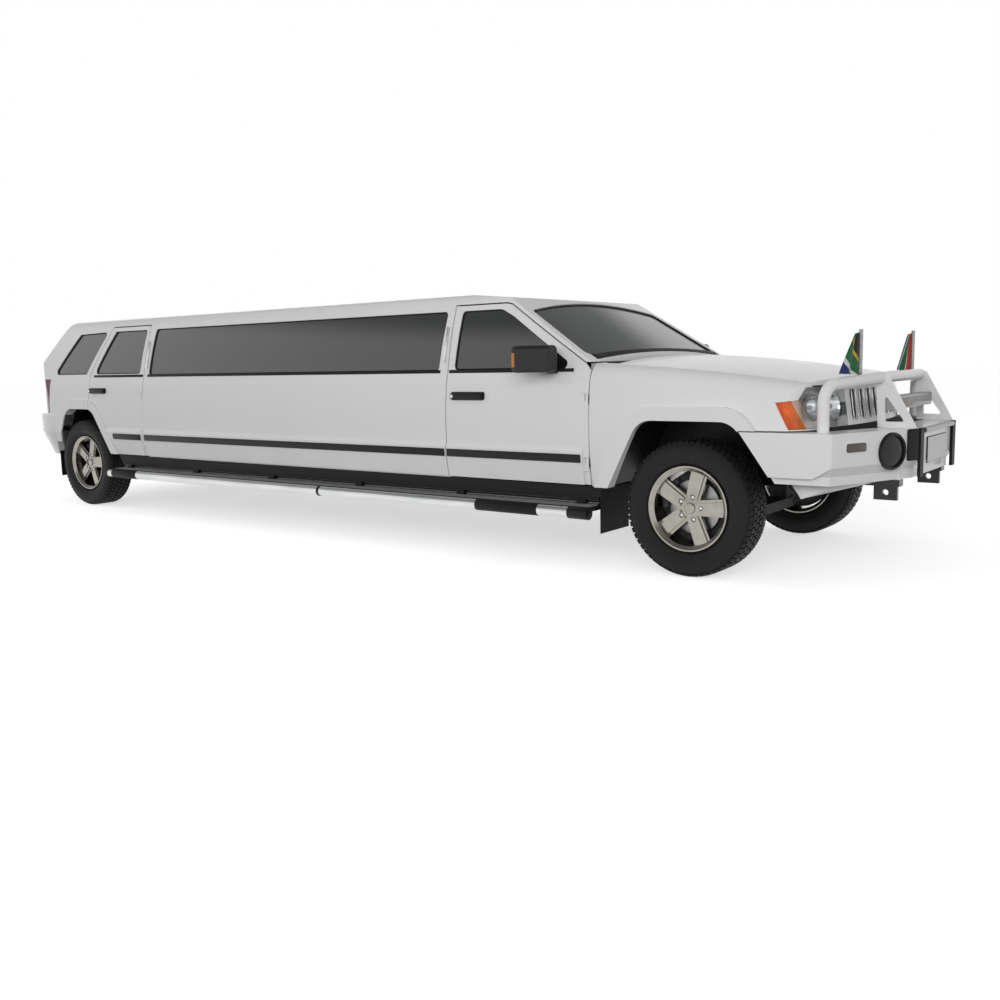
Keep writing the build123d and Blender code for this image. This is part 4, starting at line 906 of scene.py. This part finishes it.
def make_seals():
    """Rubber beads along the rims of the outer faces of the panes."""
    for name, node, body, way in GLAZING:
        facing = Vector(way)

        def outer(face):
            return face.normal.dot(facing) > SAME_WAY and face.center.y * facing.y >= 0.0

        part_of("seal_" + name, node, outer)
        mode("EDIT")
        bpy.ops.mesh.select_mode(type="EDGE")
        select_all()
        bpy.ops.mesh.region_to_loop()
        select_all("INVERT")
        bpy.ops.mesh.delete(type="EDGE_FACE")
        mode("OBJECT")
        fit(beaded("seal_" + name, SEAL_R), body, rubber_black, 60.0)


# Cowl under the windscreen, with its white ends and the black band at the foot of the screen

COWL_HALF = 0.770
# columns: station from the front axle, height; a gutter under the bonnet's rear edge, then a riser
COWL = (
    (-0.604, 1.145), (-0.548, 1.086), (-0.496, 1.086), (-0.496, 1.100), (-0.548, 1.104), (-0.552, 1.147),
    (-0.604, 1.171),
)
COWL_END = ((ahead(-0.660), 0.784, 1.085), (ahead(-0.553), 0.800, 1.165))
FOOT_TOP = 1.250
FOOT_HALF = 0.800
FOOT_T = 0.003
FOOT_BACK = ahead(-1.3)


def make_cowl():
    corners = [(ahead(x), -COWL_HALF, z) for x, z in COWL]
    fit(plate("cowl", corners, (0.0, 2 * COWL_HALF, 0.0), 0.004), "body", plastic_black)
    pair(block("cowl_end", *COWL_END, 0.004), "body", paint)
    facing = Vector(SCREEN_FACING)

    def by_the_screen(face):
        return face.normal.dot(facing) > SAME_WAY and face.center.x > FOOT_BACK

    foot = part_of("screen_foot", "roof", by_the_screen)
    mode("EDIT")
    left = Vector((0.0, 1.0, 0.0))
    for reach, way in ((FOOT_TOP, UP), (FOOT_HALF, left), (FOOT_HALF, -left)):
        select_all()
        bpy.ops.mesh.bisect(plane_co=way * reach, plane_no=way, clear_outer=True)
    mode("OBJECT")
    fit(thicken(foot, FOOT_T, 1.0), "body", rubber_black)


# Blank plate on the bull bar

PLATE_HALF = 0.186
PLATE_Z = (0.602, 0.742)
PLATE_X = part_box("bar_buffers")[0].x
PLATE_BACK_T = 0.006
PLATE_FACE_T = 0.002
PLATE_MARGIN = 0.004
PLATE_RIM = 0.006
PLATE_RIM_TALL = 0.0012


def make_plate():
    middle = PLATE_X + PLATE_BACK_T
    back = block("plate_back", (PLATE_X, -PLATE_HALF, PLATE_Z[0]), (middle, PLATE_HALF, PLATE_Z[1]), 0.004, 3)
    fit(back, "body", plastic_black)
    half = PLATE_HALF - PLATE_MARGIN
    low = (middle, -half, PLATE_Z[0] + PLATE_MARGIN)
    face = block("plate_face", low, (middle + PLATE_FACE_T, half, PLATE_Z[1] - PLATE_MARGIN), 0.0008)
    select_faces(face, lambda polygon: polygon.normal.x > 0.99 and polygon.area > 0.01)
    bpy.ops.mesh.inset(thickness=PLATE_RIM)
    bpy.ops.mesh.extrude_region_shrink_fatten(TRANSFORM_OT_shrink_fatten={"value": -PLATE_RIM_TALL})
    mode("OBJECT")
    fit(face, "body", plate_blank)


# Headlamps: clear cover with an amber outer end over a grey bucket with two silvered bowls

COVER_T = 0.0025
COVER_AROUND = 0.8
COVER_FACING = 0.35
COVER_LEVEL = 0.75
BOWL_IN = 0.012
BOWL_T = 0.003
BOWL_RING_IN = 0.004
BOWL_RING_R = 0.005
BULB_IN = (0.040, 0.012)
BULB_R = 0.013
# columns: share of the bowl's radius, depth
BOWL_ROWS = ((1.0, 0.004), (0.90, 0.016), (0.70, 0.031), (0.40, 0.043), (0.0, 0.048))
# columns: distance from the centre line, height, radius
BOWLS = ((0.530, 0.920, 0.078), (0.705, 0.920, 0.066))


def lamp_front(face):
    """Whether a face belongs to the cover: it faces forward or outward, not up or down."""
    outward = 1.0 if face.center.y > 0 else -1.0
    forward = face.normal.x + COVER_AROUND * face.normal.y * outward
    return forward > COVER_FACING and abs(face.normal.z) < COVER_LEVEL


def make_headlamps():
    cover = thicken(part_of("headlamp_covers", "headlamps", lamp_front), COVER_T, -1.0)
    fit(cover, "body", lamp_cover, 30.0)
    bucket = part_of("headlamp_buckets", "headlamps", lambda face: not lamp_front(face))
    fit(bucket, "body", lamp_bucket, 30.0)
    eighths = [i * math.pi / 4 for i in range(8)]
    for count, (y, z, radius) in enumerate(BOWLS):
        front, facing = seen_from_front("headlamps", y, z)
        at = front - facing * BOWL_IN
        rows = [(radius * part, -depth) for part, depth in BOWL_ROWS]
        rows += [(radius * part, -depth - BOWL_T) for part, depth in BOWL_ROWS[::-1]]
        pair(turned(f"bowl_{count}", rows, at, 48, facing), "body", silver, 50.0)
        rows = [(radius + BOWL_RING_R * math.cos(turn), BOWL_RING_R * math.sin(turn)) for turn in eighths]
        ring = turned(f"bowl_ring_{count}", rows, at - facing * BOWL_RING_IN, 48, facing)
        pair(ring, "body", castings, 50.0)
        bulb = rod(f"bulb_{count}", *[at - facing * depth for depth in BULB_IN], BULB_R, 0.005, 24, 3)
        pair(bulb, "body", steel)
    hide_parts("headlamps")


# Lamps, indicators, pads and apron on the angled faces of the bull bar

BAR_NORMAL = Vector((0.9165, 0.400, 0.0))
BAR_ALONG = Vector((0.400, -0.9165, 0.0))
DRIVING_LAMP = (ahead(0.957), 0.530, 0.692)
# columns: radius, offset along the lamp's axis
DRIVING_RIM = (
    (0.096, -0.002), (0.096, 0.010), (0.090, 0.018), (0.081, 0.018), (0.077, 0.006), (0.077, -0.002)
)
DRIVING_DOME = (
    (0.0, 0.0055), (0.0765, 0.0055), (0.0765, 0.008), (0.055, 0.0115), (0.028, 0.013), (0.0, 0.0135)
)
INDICATOR = Vector((ahead(0.8548), 0.765, 0.726))
# columns: name, half width, half height, start, depth, finish
INDICATOR_LAYERS = (
    ("indicator_seat", 0.078, 0.030, -0.002, 0.004, paint),
    ("indicator_glass", 0.069, 0.0225, 0.001, 0.0045, lens_smoke),
)
APRON = ((0.600, 0.800, 0.458), (0.790, 0.800, 0.545), (0.945, 0.450, 0.545))
APRON_IN = Vector((-0.0025, -0.0011, 0.0054))
BUFFER_PAD = Vector((ahead(1.036), 0.350, 0.716)) - BAR_ALONG * 0.043
BUFFER_PAD_HALF = (0.041, 0.082)
BUFFER_PAD_T = 0.010


def bar_plate(name, middle, line, thick, rounding, steps=2):
    """Flat piece on the angled face of the bar, from a line about its middle."""
    corners = [middle + BAR_ALONG * a + UP * b for a, b in line]
    return plate(name, corners, BAR_NORMAL * thick, rounding, steps)


def make_bar_lamps():
    pair(turned("driving_rim", DRIVING_RIM, DRIVING_LAMP, 64, BAR_NORMAL), "body", plastic_black, 50.0)
    pair(turned("driving_glass", DRIVING_DOME, DRIVING_LAMP, 64, BAR_NORMAL), "body", lamp_black, 50.0)
    apron = [Vector((ahead(x), y, z)) for x, y, z in APRON]
    pair(plate("bar_apron", apron, APRON_IN, 0.002), "body", paint)
    line = rounded_rect(*BUFFER_PAD_HALF, 0.012)
    pair(bar_plate("bar_pad", BUFFER_PAD, line, BUFFER_PAD_T, 0.004, 3), "body", rubber_black)
    for name, wide, tall, start, depth, finish in INDICATOR_LAYERS:
        line = rounded_rect(wide, tall, tall * 0.55)
        pair(bar_plate(name, INDICATOR + BAR_NORMAL * start, line, depth, 0.0012), "body", finish)


# Grille: black mesh in the slots, bright beads round them

GRILLE_SLOTS = 8
GRILLE_PITCH = 0.098
SLOT_HALF = (0.027, 0.079)
SLOT_Z = 0.921
SLOT_R = 0.020
MESH_PLAY = 0.0005
MESH_IN = 0.005
MESH_T = 0.010
BEAD_R = 0.003


def slot_line(y, rib, margin, depth):
    """Line round a slot, at a depth behind the rib beside it."""
    line = rounded_rect(SLOT_HALF[0] + margin, SLOT_HALF[1] + margin, SLOT_R)
    return [(seen_from_front("grille", rib, SLOT_Z + b)[0].x - depth, y + a, SLOT_Z + b) for a, b in line]


def make_grille_trim():
    meshes, beads = [], []
    for i in range(GRILLE_SLOTS):
        y = (i - (GRILLE_SLOTS - 1) / 2) * GRILLE_PITCH
        rib = y + GRILLE_PITCH / 2 if i < GRILLE_SLOTS - 1 else y - GRILLE_PITCH / 2
        meshes.append(plate("mesh", slot_line(y, rib, -MESH_PLAY, MESH_IN), (-MESH_T, 0.0, 0.0)))
        outline("bead", slot_line(y, rib, BEAD_R, 0.0))
        beads.append(beaded("bead", BEAD_R))
    fit(joined("grille_mesh", meshes), "body", plastic_black)
    fit(joined("grille_beads", beads), "body", silver, 50.0)


# Light bar: ribs on the top and the glass in front

RIB_COUNT = 6
RIB_HALF = 0.0025
RIB_MARGIN = 0.01
RIB_Z = (-0.001, 0.004)
BAR_GLASS_MARGIN = (0.02, 0.008)
BAR_GLASS_T = 0.004


def make_light_ribs():
    low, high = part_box("light_bar")
    ribs = []
    for i in range(RIB_COUNT):
        x = low.x + (high.x - low.x) * (i + 0.5) / RIB_COUNT
        start = (x - RIB_HALF, low.y + RIB_MARGIN, high.z + RIB_Z[0])
        ribs.append(block("rib", start, (x + RIB_HALF, high.y - RIB_MARGIN, high.z + RIB_Z[1]), 0.001))
    fit(joined("light_ribs", ribs), "body", steel)
    wide, tall = BAR_GLASS_MARGIN
    start = (high.x, low.y + wide, low.z + tall)
    glass = block("light_glass", start, (high.x + BAR_GLASS_T, high.y - wide, high.z - tall), 0.0015)
    fit(glass, "body", lens_smoke)


# Flags: limp cloth on the two staffs

FLAG_CELLS = (14, 18)
FLAG_STAFF = (ahead(0.765), 0.470)
FLAG_STAFF_R = 0.0045
FLAG_AWAY = Vector((math.cos(math.radians(250.0)), math.sin(math.radians(250.0)), 0.0))
FLAG_TOP = 1.295
FLAG_TALL = 0.2185
FLAG_WIDE = (0.036, 0.146)
FLAG_FOLD = 0.009
FLAG_SAG = 0.006


def make_flags():
    out = Vector((-FLAG_AWAY.y, FLAG_AWAY.x, 0.0))
    for side, sign in SIDES:
        clear_selection()
        bpy.ops.mesh.primitive_grid_add(x_subdivisions=FLAG_CELLS[0], y_subdivisions=FLAG_CELLS[1], size=1.0)
        flag = named("flag_" + side)
        staff = Vector((FLAG_STAFF[0], sign * FLAG_STAFF[1], FLAG_TOP))
        places = []
        for vertex in flag.data.vertices:
            across, down = vertex.co.x + 0.5, 0.5 - vertex.co.y
            if sign > 0:
                places.append((0.6 + 0.4 * down, 1.12 - 1.05 * across))
            else:
                places.append((0.45 * across * (1.0 - 0.5 * down), 0.62 - 0.72 * down))
            wide = FLAG_WIDE[0] + (FLAG_WIDE[1] - FLAG_WIDE[0]) * down
            wave = FLAG_FOLD * min(1.0, 3 * across) * (0.4 + 0.6 * down)
            wave *= math.sin(2 * math.pi * (1.7 * across + 0.35 * down + 0.2 * sign))
            fall = FLAG_TALL * down + FLAG_SAG * across * (1.0 - 2.6 * down)
            vertex.co = staff + FLAG_AWAY * (FLAG_STAFF_R + across * wide) + out * wave - UP * fall
        layer = flag.data.uv_layers.active.data
        for loop in flag.data.loops:
            layer[loop.index].uv = places[loop.vertex_index]
        fit(flag, "body", flag_cloth, 80.0)
        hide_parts("flags")


# Seats

CUSHION_GAP = 0.003
CUSHION_CUTS = 5
CUSHION_ROUNDING = 0.32            # share of the least size
SEAT_Y = 0.39
# columns: rear end, front end, half width, height of the underside, height of the top
SEAT_BASE = (ahead(-1.53), ahead(-1.09), 0.22, 0.0, 0.15)
SEAT_PAD = (ahead(-1.56), ahead(-1.06), 0.25, 0.14, 0.30)
SEAT_BACK = (ahead(-1.72), ahead(-1.56), 0.24, 0.12, 0.72)
SIDE_SEATS = 4
SIDE_X = (behind(1.0), ahead(-2.5))
# columns: inner side, outer side, height of the underside, height of the top
SIDE_BASE = (0.37, 0.755, 0.0, 0.17)
SIDE_PAD = (0.35, 0.76, 0.165, 0.32)
SIDE_BACK = (0.69, 0.76, 0.32, 0.62)
SIDE_BASE_IN = 0.01
BENCH_SEATS = 3
BENCH_HALF = 0.61
BENCH_TALL = 0.54
# columns: rear end, front end, height of the underside, height of the top
BENCH_BASE = (behind(-0.01), behind(0.45), 0.0, 0.09)
BENCH_PAD = (behind(-0.02), behind(0.47), 0.085, 0.22)
BENCH_BACK = (behind(-0.14), behind(-0.02), 0.0, BENCH_TALL)
BENCH_BASE_IN = 0.01


def cushion(name, node, low, high, swell, axis):
    """Stuffed block in place of a node, crowned along one axis; negative swell crowns the low side."""
    low, high = Vector(low), Vector(high)
    if swell > 0:
        high[axis] -= swell
    else:
        low[axis] -= swell
    piece = block(name, low, high)
    pick(piece)
    mode("EDIT")
    select_all()
    bpy.ops.mesh.subdivide(number_cuts=CUSHION_CUTS)
    mode("OBJECT")
    round_edges(piece, min(high - low) * CUSHION_ROUNDING, 4, SHARP_EDGE)
    middle, half = (low + high) / 2, (high - low) / 2
    for vertex in piece.data.vertices:
        part = [(vertex.co[i] - middle[i]) / half[i] for i in range(3)]
        lift = 1.0
        for i in range(3):
            if i != axis:
                lift *= 1.0 - min(1.0, abs(part[i])) ** 4
        if part[axis] * swell > 0:
            vertex.co[axis] += swell * lift
    fit(piece, "body", leather, 60.0)
    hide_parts(node)


def corners_of(x, y, floor, z):
    """Low and high corner from spans along each axis; z is measured from the floor."""
    return (x[0], y[0], floor + z[0]), (x[1], y[1], floor + z[1])


def make_front_seats():
    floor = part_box("front_seats")[0].z
    for side, sign in SIDES:
        base, pad, back = [
            corners_of((x0, x1), (sign * SEAT_Y - half, sign * SEAT_Y + half), floor, (z0, z1))
            for x0, x1, half, z0, z1 in (SEAT_BASE, SEAT_PAD, SEAT_BACK)
        ]
        fit(block("seat_base_" + side, *base, 0.02, 3), "body", plastic_black)
        cushion("seat_" + side, "front_seats", *pad, 0.03, 2)
        cushion("seat_back_" + side, "front_seats", *back, 0.03, 0)


def make_lounge_seats():
    low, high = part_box("lounge_seats")
    ends = (SIDE_X[0] + SIDE_BASE_IN, SIDE_X[1] - SIDE_BASE_IN)
    base = block("side_seat_base", *corners_of(ends, SIDE_BASE[:2], low.z, SIDE_BASE[2:]), 0.012)
    fit(base, "body", plastic_black)
    for i, span in enumerate(shares(*SIDE_X, SIDE_SEATS, CUSHION_GAP)):
        pad, back = [corners_of(span, row[:2], low.z, row[2:]) for row in (SIDE_PAD, SIDE_BACK)]
        cushion(f"side_seat_{i}", "lounge_seats", *pad, 0.03, 2)
        cushion(f"side_back_{i}", "lounge_seats", *back, -0.015, 1)
    floor = high.z - BENCH_TALL
    sides = (-BENCH_HALF + BENCH_BASE_IN, BENCH_HALF - BENCH_BASE_IN)
    base = block("bench_base", *corners_of(BENCH_BASE[:2], sides, floor, BENCH_BASE[2:]), 0.012)
    fit(base, "body", plastic_black)
    for i, span in enumerate(shares(-BENCH_HALF, BENCH_HALF, BENCH_SEATS, CUSHION_GAP)):
        pad, back = [corners_of(row[:2], span, floor, row[2:]) for row in (BENCH_PAD, BENCH_BACK)]
        cushion(f"bench_seat_{i}", "lounge_seats", *pad, 0.025, 2)
        cushion(f"bench_back_{i}", "lounge_seats", *back, 0.02, 0)


# Steps: ribs on the boards, pads and caps on the tubes

STEP_MARGIN = 0.02
BOARD_TOP = 0.352
BOARD_RIBS = (0.864, 0.886, 0.908, 0.930, 0.950)
BOARD_RIB_HALF = 0.006
BOARD_RIB_Z = (BOARD_TOP - 0.001, BOARD_TOP + 0.005)
RISER_RIBS = (0.362, 0.379)
RISER_RIB_HALF = 0.004
RISER_RIB_Y = (0.848, 0.854)
TUBE_Y = 0.999
TUBE_Z = 0.322
SLEEVE_R = 0.036
# columns: name, rear end, front end, finish
TUBE_TRIM = (
    ("tread_front", ahead(-1.36), ahead(-0.90), rubber_black),
    ("tread_rear", behind(0.58), behind(0.92), rubber_black),
    ("cap_front", ahead(-0.690), ahead(-0.556), plastic_black),
    ("cap_rear", behind(0.497), behind(0.520), plastic_black),
    ("joint_band", ahead(-2.762), ahead(-2.738), plastic_black),
)


def make_steps():
    low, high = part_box("step_tubes")
    spans = [((y - BOARD_RIB_HALF, y + BOARD_RIB_HALF), BOARD_RIB_Z) for y in BOARD_RIBS]
    spans += [(RISER_RIB_Y, (z - RISER_RIB_HALF, z + RISER_RIB_HALF)) for z in RISER_RIBS]
    x0, x1 = low.x + STEP_MARGIN, high.x - STEP_MARGIN
    ribs = [block("rib", (x0, y[0], z[0]), (x1, y[1], z[1]), 0.002) for y, z in spans]
    pair(joined("board_ribs", ribs), "body", board_rib)
    for name, x0, x1, finish in TUBE_TRIM:
        pair(rod(name, (x0, TUBE_Y, TUBE_Z), (x1, TUBE_Y, TUBE_Z), SLEEVE_R, 0.0018, 40), "body", finish)


# Rear bumper: its sides, the bolts of the mudflaps in front of it and its step pad

# columns: x at the bumper, x at the wheel arch, y, z
BUMPER_END = (
    (-0.450, -0.251, 0.932, 0.800),
    (-0.450, -0.328, 0.932, 0.640),
    (-0.470, -0.387, 0.896, 0.548),
)
BUMPER_END_T = 0.012
FLAP_BACK = behind(-0.425)
FLAP_BOLT = dict(z=0.457, sides=(0.725, 0.785), gap=0.0278, head=0.0125, radius=0.006)
PAD_Z = (0.772, 0.788)
PAD_HALF = 0.600
PAD_FROM_EDGE = 0.012
PAD_UNDER_GATE = 0.050
PAD_RIBS = 4
PAD_RIB_HALF = 0.006
PAD_RIB_MARGIN = 0.02
PAD_RIB_TALL = 0.004
PAD_RIB_SUNK = 0.002


def make_bumper_ends():
    """Sides of the rear bumper that run on to the edge of the wheel arches."""
    pieces = []
    for (b0, a0, y0, z0), (b1, a1, y1, z1) in zip(BUMPER_END, BUMPER_END[1:]):
        corners = [(behind(b0), y0, z0), (behind(a0), y0, z0), (behind(a1), y1, z1), (behind(b1), y1, z1)]
        pieces.append(plate("bumper_side", corners, (0.0, -BUMPER_END_T, 0.0)))
    pair(joined("bumper_end", pieces), "body", paint)


def make_flap_bolts():
    """Spacer bolts that hold each rear mudflap to the wall of its wheel liner."""
    x0, x1 = FLAP_BACK - FLAP_BOLT["gap"], FLAP_BACK + FLAP_BOLT["head"]
    z, radius = FLAP_BOLT["z"], FLAP_BOLT["radius"]
    pieces = [rod("flap_bolt", (x0, y, z), (x1, y, z), radius, 0.001) for y in FLAP_BOLT["sides"]]
    pair(joined("flap_bolts", pieces), "body", steel)


def make_bumper_pad():
    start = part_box("rear_bumper")[0].x - 1.0
    edge = met_at("rear_bumper", (start, 0.0, PAD_Z[0]), (1.0, 0.0, 0.0))[0].x
    x0, x1 = edge + PAD_FROM_EDGE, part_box("tailgate")[0].x + PAD_UNDER_GATE
    floor = PAD_Z[1] - PAD_RIB_TALL
    pad = [block("pad", (x0, -PAD_HALF, PAD_Z[0]), (x1, PAD_HALF, floor), 0.003)]
    half = PAD_HALF - PAD_RIB_MARGIN
    for i in range(PAD_RIBS):
        x = x0 + (i + 0.5) * (x1 - x0) / PAD_RIBS
        low = (x - PAD_RIB_HALF, -half, floor - PAD_RIB_SUNK)
        pad.append(block("rib", low, (x + PAD_RIB_HALF, half, PAD_Z[1]), 0.002))
    fit(joined("bumper_pad", pad), "body", plastic_black)


# Hinge covers, mirror sails and mirror faces

HINGE_HEIGHTS = (0.600, 0.960)
HINGE_COVER_R = (0.0073, 0.0095)
HINGE_COVER_ARC = (-10.0, 190.0)
HINGE_COVER_TALL = 0.058
# columns: station from the front axle, height
SAIL = ((-0.880, 1.142), (-0.740, 1.142), (-0.748, 1.158), (-0.870, 1.236), (-0.880, 1.236))
SAIL_IN = -0.820                   # the glass reaches this far forward at all these heights
SAIL_GAP = 0.0005
SAIL_T = 0.008
MIRROR_FACE = (MIRROR_LOW.x + 0.001, MIRROR_MIDDLE.y + 0.025, MIRROR_MIDDLE.z + 0.004)
MIRROR_FACE_HALF = (0.064, 0.050)
MIRROR_FACE_T = 0.0025


def make_door_trim():
    covers = []
    for door in ("door_front_left", "door_rear_left"):
        axis = joint_at[door]
        for middle in HINGE_HEIGHTS:
            z = middle - HINGE_COVER_TALL / 2
            rows = arc_band(HINGE_COVER_R, HINGE_COVER_ARC, 12)
            corners = [(axis.x + r * math.cos(turn), axis.y + r * math.sin(turn), z) for r, turn in rows]
            covers.append(plate("cover", corners, (0.0, 0.0, HINGE_COVER_TALL)))
    pair(joined("hinge_covers", covers), "body", paint)
    corners = []
    for x, z in SAIL:
        glass = skin_y("window_front_left", ahead(min(x, SAIL_IN)), z)
        corners.append((ahead(x), glass + SAIL_GAP, z))
    pair(plate("mirror_sail", corners, (0.0, SAIL_T, 0.0), 0.002), "door_front_side", plastic_black)
    x, y, z = MIRROR_FACE
    corners = [(x, y + a, z + b) for a, b in rounded_rect(*MIRROR_FACE_HALF, 0.02)]
    pair(plate("mirror_face", corners, (-MIRROR_FACE_T, 0.0, 0.0), 0.0008), "door_front_side", silver)


# Studio: floor, light and the camera of the photograph

CAMERA_AT = Vector((5.402, -5.845, 1.204))
CAMERA_YAW = math.radians(37.328)
CAMERA_DOWN = math.radians(7.889)
CAMERA_ROLL = math.radians(-1.306)
CAMERA_LENS = 36.84
FLOOR_SIZE = 120.0
FLOOR_DROP = 0.001
FLOOR_WHITE = 0.96
FLOOR_GLOW = 0.60
FLOOR_BOUNCE = 0.30
# columns: sine of the height above the horizon, brightness of the backdrop there
BACKDROP = ((0.0, 1.0), (0.36, 1.0), (0.48, 0.40), (0.92, 0.20))
# columns: name, place, aim, width, height, power in watts
LAMPS = (
    ("key", (5.5, -8.0, 3.2), (0.0, -0.8, 0.8), 6.0, 3.0, 230.0),
    ("overhead", (-1.0, 0.0, 7.0), (-1.0, 0.0, 0.0), 9.0, 4.0, 20.0),
    ("rear", (-8.0, -3.0, 4.0), (-2.0, 0.0, 0.8), 4.0, 2.5, 60.0),
)


def make_camera():
    camera = bpy.data.objects.new("camera", bpy.data.cameras.new("camera"))
    bpy.context.scene.collection.objects.link(camera)
    camera.data.lens = CAMERA_LENS
    camera.data.sensor_width = 36.0
    camera.data.clip_end = 200.0
    level = math.cos(CAMERA_DOWN)
    look = Vector((-math.sin(CAMERA_YAW) * level, math.cos(CAMERA_YAW) * level, -math.sin(CAMERA_DOWN)))
    across = Vector((math.cos(CAMERA_YAW), math.sin(CAMERA_YAW), 0.0))
    up = across.cross(look)
    right = across * math.cos(CAMERA_ROLL) + up * math.sin(CAMERA_ROLL)
    top = up * math.cos(CAMERA_ROLL) - across * math.sin(CAMERA_ROLL)
    turn = Matrix((right, top, -look)).transposed().to_4x4()
    camera.matrix_world = Matrix.Translation(CAMERA_AT) @ turn
    bpy.context.scene.camera = camera


def grey(light):
    return (light, light, light, 1.0)


def make_floor():
    """Bright floor to the camera and in reflections; it throws less light on the underside."""
    clear_selection()
    bpy.ops.mesh.primitive_plane_add(size=FLOOR_SIZE, location=(0.0, 0.0, CAD_LOW.z - FLOOR_DROP))
    floor = settled("floor", 0.0, 0)
    material, tree, surface = shader("studio_floor")
    tree.nodes.remove(surface)
    matte = add(tree, "BsdfDiffuse", Color=grey(FLOOR_WHITE))
    bounce = add(tree, "BsdfDiffuse", Color=grey(FLOOR_BOUNCE))
    glow = add(tree, "Emission", Color=grey(1.0), Strength=FLOOR_GLOW)
    both = add(tree, "AddShader")
    path = add(tree, "LightPath")
    seen = path.outputs["Is Camera Ray"]
    for kind in ("Is Glossy Ray", "Is Transmission Ray"):
        seen = maths(tree, "MAXIMUM", seen, path.outputs[kind])
    choose = add(tree, "MixShader", Fac=seen)
    feed(tree, both.inputs[0], matte.outputs["BSDF"])
    feed(tree, both.inputs[1], glow.outputs["Emission"])
    feed(tree, choose.inputs[1], bounce.outputs["BSDF"])
    feed(tree, choose.inputs[2], both.outputs["Shader"])
    feed(tree, tree.nodes["Material Output"].inputs["Surface"], choose.outputs["Shader"])
    floor.data.materials.append(material)


def make_world():
    world = bpy.data.worlds.new("studio")
    bpy.context.scene.world = world
    world.use_nodes = True
    tree = world.node_tree
    _, _, height = axes(tree, "Generated")
    stops = [(place, (light, light, light)) for place, light in BACKDROP]
    feed(tree, tree.nodes["Background"].inputs["Color"], ramp_of(tree, height, stops, "EASE"))


def make_lamps():
    for name, place, aim, width, height, power in LAMPS:
        lamp = bpy.data.lights.new(name, "AREA")
        lamp.shape = "RECTANGLE"
        lamp.size = width
        lamp.size_y = height
        lamp.energy = power
        holder = bpy.data.objects.new(name, lamp)
        bpy.context.scene.collection.objects.link(holder)
        holder.location = place
        holder.visible_glossy = False
        holder.rotation_euler = (Vector(aim) - Vector(place)).to_track_quat("-Z", "Y").to_euler()


bpy.context.scene.view_settings.view_transform = "Standard"
dress_nodes()
make_camera()
make_floor()
make_world()
make_lamps()
make_tyres()
make_wheel_fittings()
make_brakes()
make_side_strips()
make_belts()
make_handles()
make_pillar_lamps()
make_seals()
make_cowl()
make_plate()
make_headlamps()
make_bar_lamps()
make_grille_trim()
make_light_ribs()
make_flags()
make_front_seats()
make_lounge_seats()
make_steps()
make_bumper_ends()
make_flap_bolts()
make_bumper_pad()
make_door_trim()
